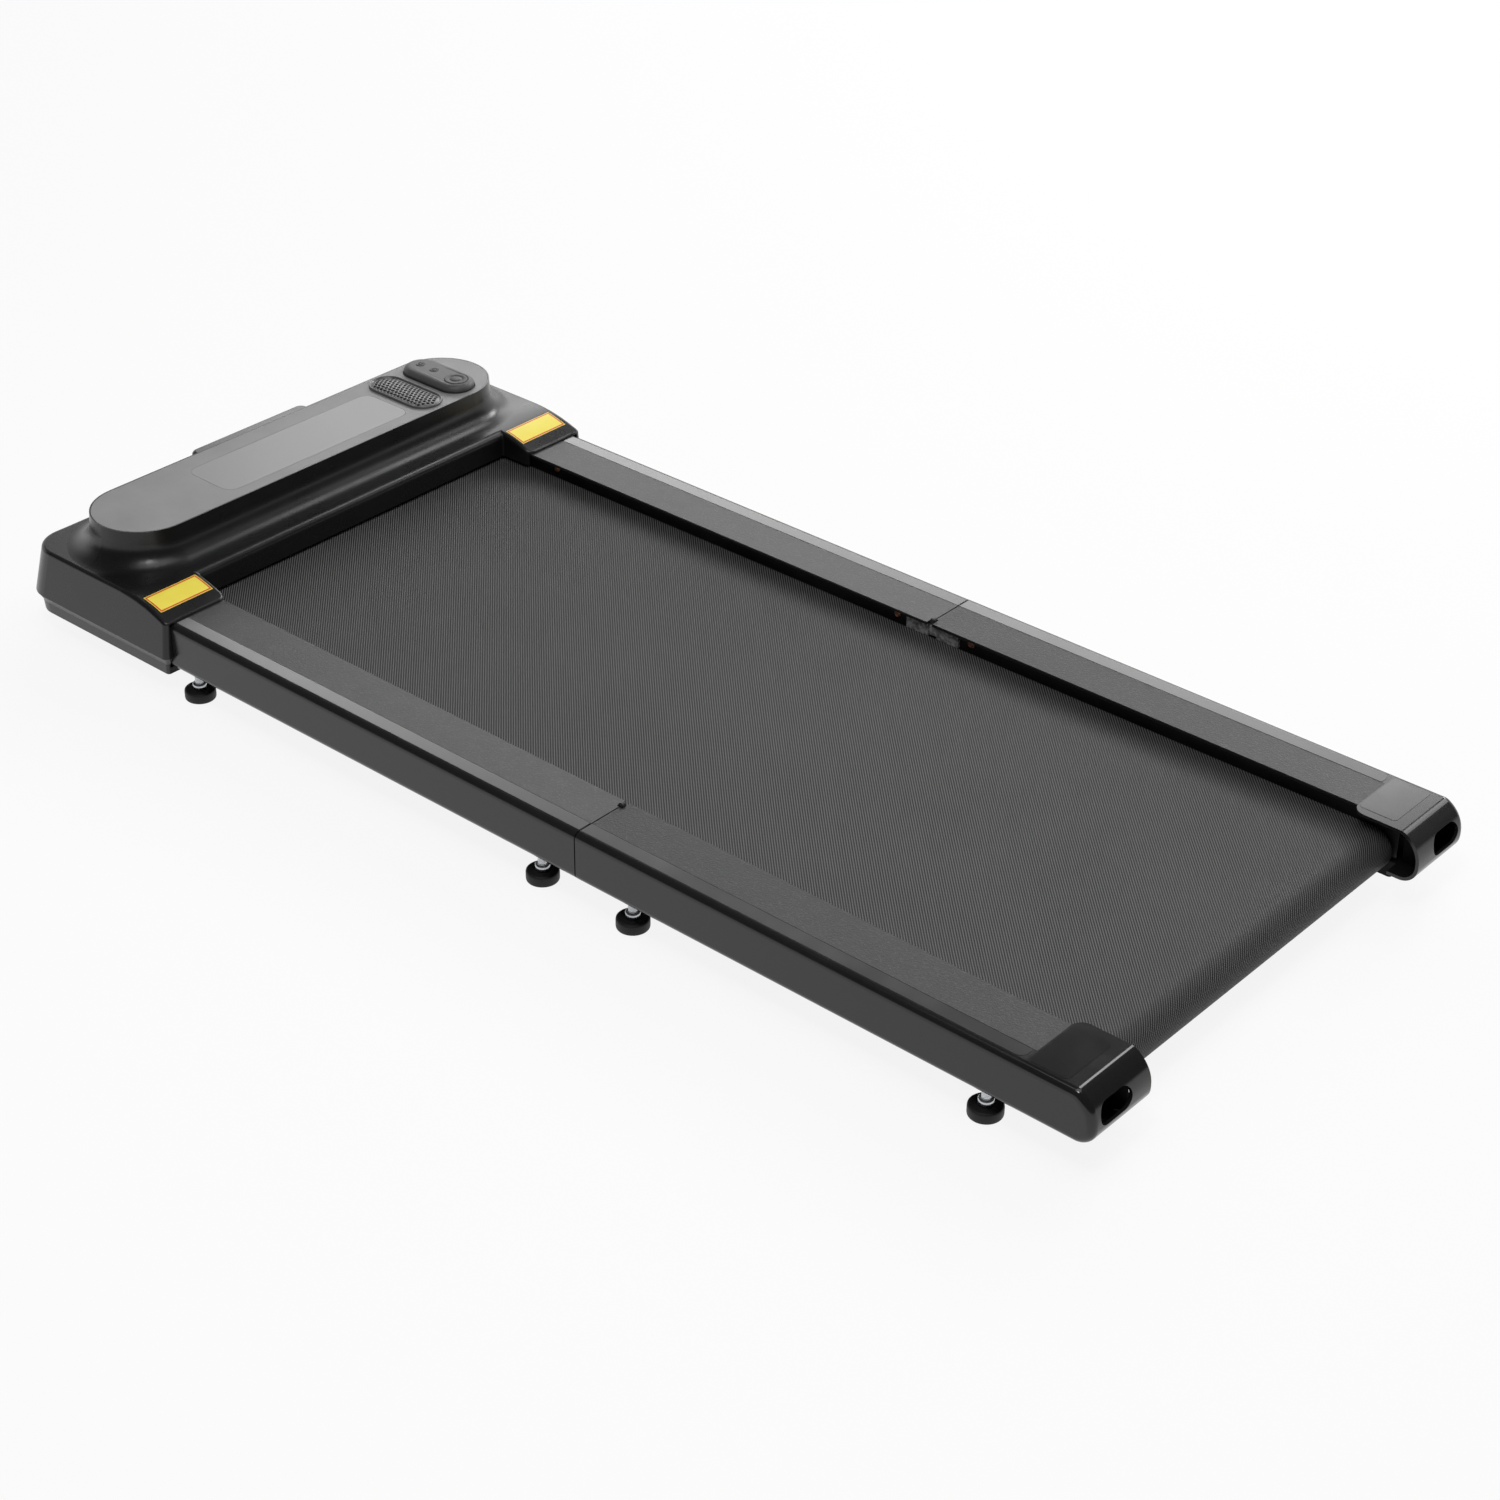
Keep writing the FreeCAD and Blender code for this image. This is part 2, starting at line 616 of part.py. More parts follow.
def rear_axle_and_blocks():
    y0 = TUBE_IN + TUBE_CORNER + BLOCK_PLAY
    y1 = y0 + BLOCK_WIDTH
    block = box((REAR_ROLLER_X - BLOCK_LENGTH / 2 + 4, REAR_ROLLER_X + BLOCK_LENGTH / 2 + 4), (y0, y1),
                (TUBE_BOTTOM + TUBE_WALL, TUBE_TOP - TUBE_WALL - BLOCK_PLAY))
    block = block.cut(round_y(REAR_ROLLER_X, ROLLER_Z, AXLE_R, y0 - 1, y1 - 4))
    block = block.cut(round_x(bolt_y(), TUBE_MID, TENSION_BOLT_R + RUN_PLAY,
                              REAR_ROLLER_X - BLOCK_LENGTH, REAR_ROLLER_X + BLOCK_LENGTH))
    axle = round_y(REAR_ROLLER_X, ROLLER_Z, AXLE_R, -(y1 - 4), y1 - 4)
    return Part.makeCompound([axle, block, mirrored(block)])


def tension_bolt():
    head_x = TUBE_REAR_X - NUT_PLAY
    bolt = round_x(bolt_y(), TUBE_MID, TENSION_BOLT_R, head_x - 1, REAR_ROLLER_X + BLOCK_LENGTH / 2)
    head = round_x(bolt_y(), TUBE_MID, TENSION_HEAD_R, head_x - TENSION_HEAD_T, head_x)
    socket = hexagon_x(bolt_y(), TUBE_MID, 5.0, head_x - TENSION_HEAD_T - 1, head_x - TENSION_HEAD_T + 3.5)
    return bolt.fuse(head).cut(socket).removeSplitter()


def hexagon_x(y, z, across, x0, x1):
    radius = across / math.sqrt(3)
    angles = [i * math.pi / 3 for i in range(7)]
    points = [V(x0, y + radius * math.cos(a), z + radius * math.sin(a)) for a in angles]
    return Part.Face(Part.makePolygon(points)).extrude(V(x1 - x0, 0, 0))


def hexagon_z(x, y, across, z0, z1):
    radius = across / math.sqrt(3)
    angles = [i * math.pi / 3 for i in range(7)]
    points = [V(x + radius * math.cos(a), y + radius * math.sin(a), z0) for a in angles]
    return Part.Face(Part.makePolygon(points)).extrude(V(0, 0, z1 - z0))


# Levelling foot: rubber pad, steel stud and lock nut
def foot(x, y):
    top = TUBE_BOTTOM + STUD_IN
    collar = FOOT_HEIGHT + COLLAR_T
    profile = [(0, 0), (FOOT_R, 0), (FOOT_R, FOOT_HEIGHT), (COLLAR_R, FOOT_HEIGHT), (COLLAR_R, collar),
               (STUD_R, collar), (STUD_R, top), (0, top)]
    pad = turned(profile, lambda r, h: V(x + r, y, h), V(0, 0, 1))
    nut_top = TUBE_BOTTOM - NUT_PLAY
    nut = hexagon_z(x, y, NUT_ACROSS, nut_top - NUT_T, nut_top).cut(round_z(x, y, STUD_R, 0, TUBE_TOP))
    return Part.makeCompound([pad, nut])


# Hood: drafted shell with two ears, a stadium pod flared out of its shoulder and a front bump
def hood_outline(z, inset, shrink):
    half = HOOD_HALF - SIDE_DRAFT * shrink - inset
    front = FRONT_X - FRONT_DRAFT * shrink - inset
    rear = EAR_X + inset
    corner = HOOD_CORNER - inset
    tail = max(EAR_CORNER - inset, 3.0)
    corners = [(rear, -half, tail), (front, -half, corner), (front, half, corner), (rear, half, tail)]
    return rounded_wire(corners, level(z))


def hood_block(inset):
    top = SHOULDER_Z + 4.0
    shrink = (top - CREASE_Z) / (SHOULDER_Z - CREASE_Z)
    return Part.makeLoft([hood_outline(CREASE_Z, inset, 0.0), hood_outline(top, inset, shrink)], True, True)


def roof_z(x):
    return SHOULDER_Z - EAR_R + math.sqrt(EAR_R ** 2 - (EAR_FLAT_X - x) ** 2)


def roof_cutter():
    x0 = EAR_X - 1.0
    xm = (x0 + EAR_FLAT_X) / 2
    y0 = -HOOD_HALF - 10
    corners = [V(x0, y0, CREASE_Z - 1), V(FRONT_X + 1, y0, CREASE_Z - 1),
               V(FRONT_X + 1, y0, SHOULDER_Z), V(EAR_FLAT_X, y0, SHOULDER_Z)]
    edges = [Part.makeLine(corners[i], corners[i + 1]) for i in range(3)]
    edges.append(Part.Arc(corners[3], V(xm, y0, roof_z(xm)), V(x0, y0, roof_z(x0))).toShape())
    edges.append(Part.makeLine(V(x0, y0, roof_z(x0)), corners[0]))
    return Part.Face(Part.Wire(edges)).extrude(V(0, -2 * y0, 0))


def lip_cutter():
    middle = ROOF_REAR_X
    z = roof_z(middle) - LIP_R
    block = box((LIP_X - 1, middle), (-EAR_IN, EAR_IN), (z, SHOULDER_Z + 2))
    return block.cut(round_y(middle, z, LIP_R, -EAR_IN - 1, EAR_IN + 1))


# The ears' inner rear corners are round in plan and their inner top edges are eased
def ear_corner():
    low = CREASE_Z - 1
    high = SHOULDER_Z + 1
    block = box((EAR_X - 1, EAR_X + EAR_INNER_R), (EAR_IN - 1, EAR_IN + EAR_INNER_R), (low, high))
    return block.cut(round_z(EAR_X + EAR_INNER_R, EAR_IN + EAR_INNER_R, EAR_INNER_R, low, high))


def ear_edges(form):
    edges = []
    for edge in form.Edges:
        limits = edge.BoundBox
        on_roof = limits.ZMin > RAIL_TOP + 1 and limits.XMax < ROOF_REAR_X + 0.5
        if on_roof and abs(abs(edge.CenterOfMass.y) - EAR_IN) < 0.1:
            edges.append(edge)
    return edges


def stadium(radius, z):
    return rounded_wire(pill(POD_X, 0, 2 * radius, 2 * (POD_HALF + radius)), level(z))


def stadium_block(radius, z0, z1):
    return Part.Face(stadium(radius, z0)).extrude(V(0, 0, z1 - z0))


def pod_radius(z):
    return POD_R + POD_RIM + (PANEL_TOP - z) * math.tan(math.radians(POD_WALL_TILT))


# The flare is as large as the roof around the pod leaves room for
def flare_radius():
    wall = pod_radius(SHOULDER_Z)
    side = HOOD_HALF - SIDE_DRAFT - HOOD_EDGE_R - RAIL_PLAY
    room = min(POD_X - wall - ROOF_REAR_X, side - POD_HALF - wall)
    return min(POD_FLARE_R, room / math.tan(math.radians(45 - POD_WALL_TILT / 2)))


def hood_form():
    form = hood_block(0.0).common(roof_cutter())
    form = form.cut(box((EAR_X - 5, LIP_X), (-EAR_IN, EAR_IN), (CREASE_Z - 5, SHOULDER_Z + 5)))
    form = form.cut(lip_cutter()).cut(both_sides(ear_corner()))
    low = SHOULDER_Z - 6.0
    wires = [stadium(pod_radius(z), z) for z in (low, PANEL_TOP)]
    pod = Part.makeLoft(wires, True, True)
    form = form.fuse(pod).removeSplitter()
    reach = pod_radius(SHOULDER_Z) + 1.0
    flare = edges_inside(form, (POD_X - reach, POD_X + reach), (-POD_HALF - reach, POD_HALF + reach),
                         (SHOULDER_Z - 0.5, SHOULDER_Z + 0.5))
    form = form.makeFillet(flare_radius(), flare)
    form = form.makeFillet(HOOD_EDGE_R, rim_edges(form))
    form = form.makeFillet(EAR_EDGE_R, ear_edges(form))
    return form.fuse(front_bump()).removeSplitter()


def rim_edges(form):
    rim = []
    for edge in form.Edges:
        limits = edge.BoundBox
        on_side = limits.YMin > HOOD_HALF - 12 or limits.YMax < 12 - HOOD_HALF
        on_front = limits.XMin > FRONT_X - FRONT_DRAFT - 2
        in_front = limits.XMin > FRONT_X - HOOD_CORNER - FRONT_DRAFT
        on_corner = in_front and abs(edge.CenterOfMass.y) > HOOD_HALF - HOOD_CORNER - SIDE_DRAFT
        upright = limits.ZMax - limits.ZMin > 20
        on_roof = limits.ZMin > RAIL_TOP + 1
        if on_roof and not upright and (on_side or on_front or on_corner):
            rim.append(edge)
    return rim


def front_bump():
    top = SHOULDER_Z + BUMP_RISE
    front = FRONT_X - BUMP_BACK
    corners = [(POD_X, -BUMP_HALF, 0), (front, -BUMP_HALF, 9), (front, BUMP_HALF, 9), (POD_X, BUMP_HALF, 0)]
    bump = prism_z(corners, SHOULDER_Z - 4, top)
    crest = [e for e in bump.Edges if e.BoundBox.ZMin > top - 0.1 and e.BoundBox.XMax > POD_X + 1]
    return bump.makeFillet(BUMP_EDGE_R, crest)


def hood_hollow():
    roof = SHOULDER_Z - 2 * HOOD_WALL
    ear_roof = RAIL_TOP + RAIL_PLAY
    hollow = hood_block(HOOD_WALL)
    hollow = hollow.fuse(hood_outline_skirt())
    hollow = hollow.cut(box((EAR_X - 5, FRONT_X + 5), (-HOOD_HALF, HOOD_HALF), (roof, SHOULDER_Z + 10)))
    hollow = hollow.cut(box((EAR_X - 5, ROOF_REAR_X), (-HOOD_HALF, HOOD_HALF), (ear_roof, SHOULDER_Z + 10)))
    wall = EAR_IN + HOOD_WALL
    hollow = hollow.cut(box((EAR_X - 5, LIP_X + HOOD_WALL), (-wall, wall), (CREASE_Z - 5, SHOULDER_Z + 10)))
    pocket = box((ENTRY_X - HOOD_WALL, FRONT_X + 5), (-ENTRY_HALF - HOOD_WALL, ENTRY_HALF + HOOD_WALL),
                 (ENTRY_BOTTOM - HOOD_WALL, ENTRY_BOTTOM + ENTRY_HEIGHT + HOOD_WALL))
    hollow = hollow.cut(pocket)
    ceiling = PANEL_BOTTOM - HOOD_WALL
    hollow = hollow.fuse(stadium_block(POD_R - 1.0, roof - 1, ceiling))
    return hollow.fuse(stadium_block(POD_R - PANEL_LEDGE, ceiling - 1, PANEL_BOTTOM + 1))


def hood_outline_skirt():
    wire = hood_outline(CREASE_Z - 2, HOOD_WALL, 0.0)
    return Part.Face(wire).extrude(V(0, 0, 2.0))


def hood():
    shell = hood_form().cut(hood_hollow())
    shell = shell.cut(stadium_block(POD_R + PANEL_PLAY, PANEL_BOTTOM, PANEL_TOP + 1))
    wall = EAR_IN + HOOD_WALL + 0.1
    shell = shell.cut(box((EAR_X - 5, LIP_X + HOOD_WALL + 0.1), (-wall, wall),
                          (CREASE_Z - 5, BELT_TOP + LIP_CLEAR)))
    mouth = box((EAR_X - 5, EAR_X + HOOD_WALL + 1), (EAR_IN + HOOD_WALL, RAIL_OUT + RAIL_PLAY),
                (CREASE_Z - 5, RAIL_TOP + RAIL_PLAY))
    shell = shell.cut(mouth).cut(mirrored(mouth))
    recess = box((ENTRY_X, FRONT_X + 5), (-ENTRY_HALF, ENTRY_HALF),
                 (ENTRY_BOTTOM, ENTRY_BOTTOM + ENTRY_HEIGHT))
    shell = shell.cut(recess)
    half_y = ENTRY_HALF - 6 + ENTRY_PLAY
    half_z = ENTRY_HEIGHT / 2 - 5 + ENTRY_PLAY
    zs = (ENTRY_Z - half_z, ENTRY_Z + half_z)
    return shell.cut(box((ENTRY_X - 5, ENTRY_X + 1), (-half_y, half_y), zs))


# Bottom pan under the hood, with wings beside the belt and wheel wells
def pan_levels(extra):
    bevel_z = CREASE_Z - PAN_BEVEL
    return [(PAN_BOTTOM, PAN_REVEAL + PAN_STEP + 1 + extra), (bevel_z, PAN_REVEAL + PAN_STEP + extra),
            (CREASE_Z, PAN_REVEAL + extra)]


def pan_block(extra, z0):
    wires = [hood_outline(max(z, z0), inset, 0.0) for z, inset in pan_levels(extra)]
    return Part.makeLoft(wires, True, True)


def wheel_well(grow):
    half_x = WHEEL_R + 2 * WHEEL_PLAY + grow
    half_y = WHEEL_WIDTH / 2 + WHEEL_PLAY + grow
    return box((WHEEL_X - half_x, WHEEL_X + half_x), (WHEEL_Y - half_y, WHEEL_Y + half_y),
               (PAN_BOTTOM - 1, WHEEL_Z + WHEEL_R + 2 * WHEEL_PLAY + grow))


def bottom_pan():
    belt_side = BELT_HALF + PAN_BELT_GAP
    keep_x = TRAY_REAR_X - 3.0
    block = pan_block(0.0, PAN_BOTTOM)
    inner = pan_block(PAN_WALL, PAN_FLOOR)
    wall = belt_side + PAN_WALL
    inner = inner.cut(box((EAR_X - 5, keep_x + PAN_WALL), (-wall, wall), (0, CREASE_Z + 5)))
    wells = both_sides(wheel_well(PAN_WALL))
    inner = inner.cut(wells)
    for x in (TRAY_REAR_X + TRAY_EDGE, MOTOR_X, TRAY_FRONT_X - TRAY_EDGE):
        inner = inner.cut(box((x, x + PAN_RIB_T), (-BELT_HALF, BELT_HALF), (PAN_FLOOR - 1, TRAY_BOTTOM)))
    pan = block.cut(inner)
    pan = pan.cut(box((EAR_X - 5, keep_x), (-belt_side, belt_side), (0, CREASE_Z + 5)))
    mouth = box((EAR_X - 5, EAR_X + 3 * PAN_STEP), (belt_side - 1, RAIL_OUT + RAIL_PLAY),
                (RAIL_LIFT - RAIL_PLAY, CREASE_Z + 5))
    pan = pan.cut(mouth).cut(mirrored(mouth))
    bay = box((TUBE_FRONT_X + PAN_BAY_GAP, keep_x), (belt_side - 1, TUBE_IN), (PAN_FLOOR, CREASE_Z + 5))
    pan = pan.cut(bay).cut(mirrored(bay))
    pan = pan.cut(both_sides(wheel_well(0.0)))
    half = WHEEL_WIDTH / 2 + WHEEL_PLAY + PAN_WALL
    bore = round_y(WHEEL_X, WHEEL_Z, WHEEL_AXLE_R, WHEEL_Y - half - 1, WHEEL_Y + half + 1)
    lugs = pan_lugs()
    pan = pan.fuse(lugs).fuse(mirrored(lugs))
    return pan.cut(bore).cut(mirrored(bore)).removeSplitter()


def pan_lugs():
    near = WHEEL_WIDTH / 2 + WHEEL_PLAY
    far = near + PAN_WALL
    lugs = []
    for y0, y1 in ((WHEEL_Y - far, WHEEL_Y - near), (WHEEL_Y + near, WHEEL_Y + far)):
        lug = round_y(WHEEL_X, WHEEL_Z, WHEEL_AXLE_R + 4, y0, y1)
        reach = WHEEL_AXLE_R + 4
        lugs.append(lug.fuse(box((WHEEL_X - reach, WHEEL_X + reach), (y0, y1), (WHEEL_Z, PAN_FLOOR))))
    return lugs[0].fuse(lugs[1])


# Bent sheet tray that joins the rails and carries roller, motor and controller
def chassis_tray():
    floor = box((TRAY_REAR_X, TRAY_FRONT_X), (-RAIL_OUT, RAIL_OUT), (TRAY_BOTTOM, TRAY_TOP))
    flange = box((COVER_FRONT_X + TRAY_T, TRAY_FRONT_X), (TUBE_OUT, RAIL_OUT), (TRAY_BOTTOM, TUBE_TOP))
    flange = flange.cut(round_y(FRONT_ROLLER_X, ROLLER_Z, AXLE_R, TUBE_OUT - 1, RAIL_OUT + 1))
    tray = floor.fuse(flange).fuse(mirrored(flange))
    return tray.cut(both_sides(wheel_well(PAN_WALL + WELL_PLAY))).removeSplitter()


# Drive: motor with flywheel, flanged pulleys and flat belt
def pulley(x, z, radius, bore, y0):
    rim = radius + PULLEY_RIM
    step = y0 + PULLEY_FLANGE
    y1 = y0 + PULLEY_WIDTH
    profile = [(bore, y0), (rim, y0), (rim, step), (radius, step), (radius, y1), (bore, y1)]
    return turned(profile, lambda r, h: V(x + r, h, z), V(0, 1, 0))


def loop_face(r_roller, r_motor, y):
    ax, az, bx, bz = FRONT_ROLLER_X, ROLLER_Z, MOTOR_X, MOTOR_Z
    span = math.hypot(bx - ax, bz - az)
    heading = math.atan2(bz - az, bx - ax)
    lean = math.acos((r_roller - r_motor) / span)

    def at(cx, cz, radius, angle):
        return V(cx + radius * math.cos(angle), y, cz + radius * math.sin(angle))

    up, down = heading + lean, heading - lean
    edges = [Part.makeLine(at(ax, az, r_roller, up), at(bx, bz, r_motor, up)),
             Part.Arc(at(bx, bz, r_motor, up), at(bx, bz, r_motor, heading),
                      at(bx, bz, r_motor, down)).toShape(),
             Part.makeLine(at(bx, bz, r_motor, down), at(ax, az, r_roller, down)),
             Part.Arc(at(ax, az, r_roller, down), at(ax, az, r_roller, heading + math.pi),
                      at(ax, az, r_roller, up)).toShape()]
    return Part.Face(Part.Wire(edges))


def drive_belt():
    y0 = PULLEY_Y + (PULLEY_WIDTH - DRIVE_BELT_WIDTH) / 2 + 0.5
    grow = DRIVE_BELT_PLAY
    inner = loop_face(ROLLER_PULLEY_R + grow, MOTOR_PULLEY_R + grow, y0)
    grow += DRIVE_BELT_T
    outer = loop_face(ROLLER_PULLEY_R + grow, MOTOR_PULLEY_R + grow, y0)
    return outer.cut(inner).extrude(V(0, DRIVE_BELT_WIDTH - 1, 0))


def motor_housing():
    y0, y1 = MOTOR_START_Y, MOTOR_END_Y
    bore = SHAFT_R + RUN_PLAY
    bell = MOTOR_R - MOTOR_SADDLE
    step = y1 - MOTOR_LENGTH / 8
    profile = [(bore, y0), (MOTOR_R, y0), (MOTOR_R, step), (bell, step), (bell, y1), (bore, y1)]
    return turned(profile, lambda r, h: V(MOTOR_X + r, h, MOTOR_Z), V(0, 1, 0))


def motor_rotor():
    shaft = round_y(MOTOR_X, MOTOR_Z, SHAFT_R, MOTOR_START_Y - FLYWHEEL_T - 6, PULLEY_Y + PULLEY_WIDTH + 1)
    wheel = round_y(MOTOR_X, MOTOR_Z, FLYWHEEL_R, MOTOR_START_Y - FLYWHEEL_T - 4, MOTOR_START_Y - 4)
    return shaft.fuse(wheel).removeSplitter()


def motor_bracket():
    half = MOTOR_R - 4
    plate = box((MOTOR_X - half, MOTOR_X + half), (MOTOR_START_Y + 8, MOTOR_END_Y - 8),
                (TRAY_TOP, TRAY_TOP + MOTOR_SADDLE))
    bracket = plate
    for y in (MOTOR_START_Y + 16, MOTOR_END_Y - 20):
        cheek = box((MOTOR_X - half, MOTOR_X + half), (y, y + 4), (TRAY_TOP, MOTOR_Z - 6))
        bracket = bracket.fuse(cheek)
    return bracket.cut(round_y(MOTOR_X, MOTOR_Z, MOTOR_R, MOTOR_START_Y, MOTOR_END_Y)).removeSplitter()


def motor_controller():
    half = CONTROLLER_WIDTH / 2
    y1 = -BELT_HALF * 0.4
    y0 = y1 - CONTROLLER_LENGTH
    top = TRAY_TOP + CONTROLLER_HEIGHT
    case = box((MOTOR_X - half, MOTOR_X + half), (y0, y1), (TRAY_TOP, top))
    step = 2 * half / FINS
    for i in range(FINS):
        x = MOTOR_X - half + step * (i + 0.25)
        case = case.fuse(box((x, x + step / 2), (y0 + 8, y1 - 8), (top, top + FIN_HEIGHT)))
    return case.removeSplitter()


# Console panel with its window bed, remote dock and board posts
def window_corners(grow):
    x0 = POD_X + WINDOW_SHIFT - WINDOW_LENGTH / 2 - grow
    x1 = POD_X + WINDOW_SHIFT + WINDOW_LENGTH / 2 + grow
    return frame_corners((x0, x1), (-WINDOW_HALF - grow, WINDOW_HALF + grow), WINDOW_CORNER + grow)


def board_posts():
    posts = []
    for x in (-1, 1):
        for y in (-1, 1):
            px = POD_X + WINDOW_SHIFT + x * (WINDOW_LENGTH / 2 - 8)
            py = y * (WINDOW_HALF - WINDOW_CORNER)
            posts.append(box((px - POST_HALF, px + POST_HALF), (py - POST_HALF, py + POST_HALF),
                             (PANEL_BOTTOM - BOARD_DROP, PANEL_BOTTOM + 0.5)))
    return posts


def console_panel():
    panel = stadium_block(POD_R, PANEL_BOTTOM, PANEL_TOP)
    panel = panel.cut(prism_z(window_corners(PANEL_PLAY), PANEL_TOP - WINDOW_T, PANEL_TOP + 1))
    dock = pill(POD_X, REMOTE_Y, REMOTE_LENGTH, REMOTE_WIDTH, REMOTE_PLAY + DOCK_WALL)
    panel = panel.fuse(prism_z(dock, DOCK_FLOOR - DOCK_WALL, PANEL_TOP - 0.5))
    dock = pill(POD_X, REMOTE_Y, REMOTE_LENGTH, REMOTE_WIDTH, REMOTE_PLAY)
    panel = panel.cut(prism_z(dock, DOCK_FLOOR, PANEL_TOP + 1))
    seat = pill(POD_X, GRILLE_Y, GRILLE_LENGTH - 2 * GRILLE_RING, GRILLE_WIDTH - 2 * GRILLE_RING)
    panel = panel.cut(prism_z(seat, PANEL_BOTTOM - 5, PANEL_TOP + 1))
    for post in board_posts():
        panel = panel.fuse(post)
    return panel.removeSplitter()


def display_window():
    return prism_z(window_corners(0.0), PANEL_TOP - WINDOW_T, PANEL_TOP)


def display_board():
    half_x = WINDOW_LENGTH / 2 - 3
    x = POD_X + WINDOW_SHIFT
    top = PANEL_BOTTOM - BOARD_DROP
    board = box((x - half_x, x + half_x), (-WINDOW_HALF + 4, WINDOW_HALF - 4), (top - BOARD_T, top))
    digits = box((x - 12, x + 12), (-WINDOW_HALF * 0.5, WINDOW_HALF * 0.5), (top, top + 3))
    return board.fuse(digits).removeSplitter()


def speaker_grille():
    top = PANEL_TOP + GRILLE_RISE
    levels = ((PANEL_TOP, 0.0), (top - GRILLE_TOP_INSET, 0.0), (top, -GRILLE_TOP_INSET))
    wires = [rounded_wire(pill(POD_X, GRILLE_Y, GRILLE_LENGTH, GRILLE_WIDTH, grow), level(z))
             for z, grow in levels]
    ring = Part.makeLoft(wires, True, True)
    under = pill(POD_X, GRILLE_Y, GRILLE_LENGTH - 2 * GRILLE_RING, GRILLE_WIDTH - 2 * GRILLE_RING, -1.0)
    ring = ring.cut(prism_z(under, PANEL_TOP - 1, top - GRILLE_TOP_INSET))
    return ring.cut(Part.makeCompound(grille_holes()))


# Hexagonal holes in staggered rows inside the ring
def grille_holes():
    holes = []
    radius = GRILLE_WIDTH / 2 - GRILLE_RING - GRILLE_HOLE
    straight = GRILLE_LENGTH / 2 - GRILLE_WIDTH / 2
    row_step = GRILLE_HOLE_PITCH * math.sqrt(3) / 2
    rows = int(radius / row_step)
    columns = int((straight + radius) / GRILLE_HOLE_PITCH) + 1
    for row in range(-rows, rows + 1):
        for column in range(-columns, columns + 1):
            x = (column + 0.5 * (row % 2)) * GRILLE_HOLE_PITCH
            y = row * row_step
            if math.hypot(max(abs(x) - straight, 0), y) < radius:
                holes.append(hexagon_z(POD_X + x, GRILLE_Y + y, GRILLE_HOLE, PANEL_TOP - 1,
                                       PANEL_TOP + GRILLE_RISE + 1))
    return holes


def speaker_driver():
    length = GRILLE_LENGTH - 2 * GRILLE_RING + 4
    width = GRILLE_WIDTH - 2 * GRILLE_RING + 4
    back = PANEL_BOTTOM - SPEAKER_DEPTH
    frame = prism_z(pill(POD_X, GRILLE_Y, length, width), PANEL_BOTTOM - 2, PANEL_BOTTOM)
    basket = prism_z(pill(POD_X, GRILLE_Y, length, width, -4), back + 5, PANEL_BOTTOM - 2)
    magnet = round_z(POD_X, GRILLE_Y, width / 2 - 4, back, back + 5)
    cone = prism_z(pill(POD_X, GRILLE_Y, length, width, -6), back + 7, PANEL_BOTTOM + 1)
    return frame.fuse(basket).fuse(magnet).cut(cone).removeSplitter()


# Remote control lying in its dock
def remote_base():
    return prism_z(pill(POD_X, REMOTE_Y, REMOTE_LENGTH, REMOTE_WIDTH), DOCK_FLOOR, PANEL_TOP)


def button_places():
    return {"remote_faster_button": (POD_X + SMALL_BUTTON_AHEAD + SMALL_BUTTON_PITCH, BUTTON_R),
            "remote_slower_button": (POD_X + SMALL_BUTTON_AHEAD, BUTTON_R),
            "remote_start_button": (POD_X - BIG_BUTTON_BEHIND, BIG_BUTTON_R)}


def remote_top():
    levels = [(PANEL_TOP, 0.0)] + [(REMOTE_TOP - drop, inset) for drop, inset in REMOTE_BEVELS]
    wires = [rounded_wire(pill(POD_X, REMOTE_Y, REMOTE_LENGTH, REMOTE_WIDTH, -inset), level(z))
             for z, inset in levels]
    top = Part.makeLoft(wires, True, True)
    for x, radius in button_places().values():
        floor = REMOTE_TOP - BUTTON_DEPTH - BUTTON_TRAVEL - BUTTON_PLAY
        top = top.cut(round_z(x, REMOTE_Y, radius + BUTTON_PLAY, floor, REMOTE_TOP + 1))
    return top


def remote_button(name):
    x, radius = button_places()[name]
    low = REMOTE_TOP - BUTTON_DEPTH
    high = REMOTE_TOP + BUTTON_RISE
    return round_z(x, REMOTE_Y, radius, low, high)


# Power inlet and rocker switch
def rocker_y():
    return ENTRY_HALF * 0.5 - ROCKER_WIDTH / 2 + 2


def power_entry_module():
    half_y = ENTRY_HALF - 6
    half_z = ENTRY_HEIGHT / 2 - 5
    face = frame_corners((-half_y - 4, half_y + 4), (ENTRY_Z - half_z - 3, ENTRY_Z + half_z + 3), 4)
    module = prism_x(face, ENTRY_X, ENTRY_X + ENTRY_FACE_T)
    zs = (ENTRY_Z - half_z, ENTRY_Z + half_z)
    module = module.fuse(box((ENTRY_X - ENTRY_DEPTH, ENTRY_X), (-half_y, half_y), zs))
    inlet = frame_corners((-half_y + 3, -half_y + 3 + INLET_WIDTH),
                          (ENTRY_Z - INLET_HEIGHT / 2, ENTRY_Z + INLET_HEIGHT / 2), 3)
    module = module.cut(prism_x(inlet, ENTRY_X + ENTRY_FACE_T - INLET_DEPTH, ENTRY_X + ENTRY_FACE_T + 1))
    reach = ROCKER_R + ROCKER_PLAY
    seat = box((ENTRY_X - reach, ENTRY_X + ENTRY_FACE_T + 1),
               (rocker_y() - ROCKER_PLAY, rocker_y() + ROCKER_WIDTH + ROCKER_PLAY),
               (ENTRY_Z - reach, ENTRY_Z + reach))
    return module.cut(seat).removeSplitter()


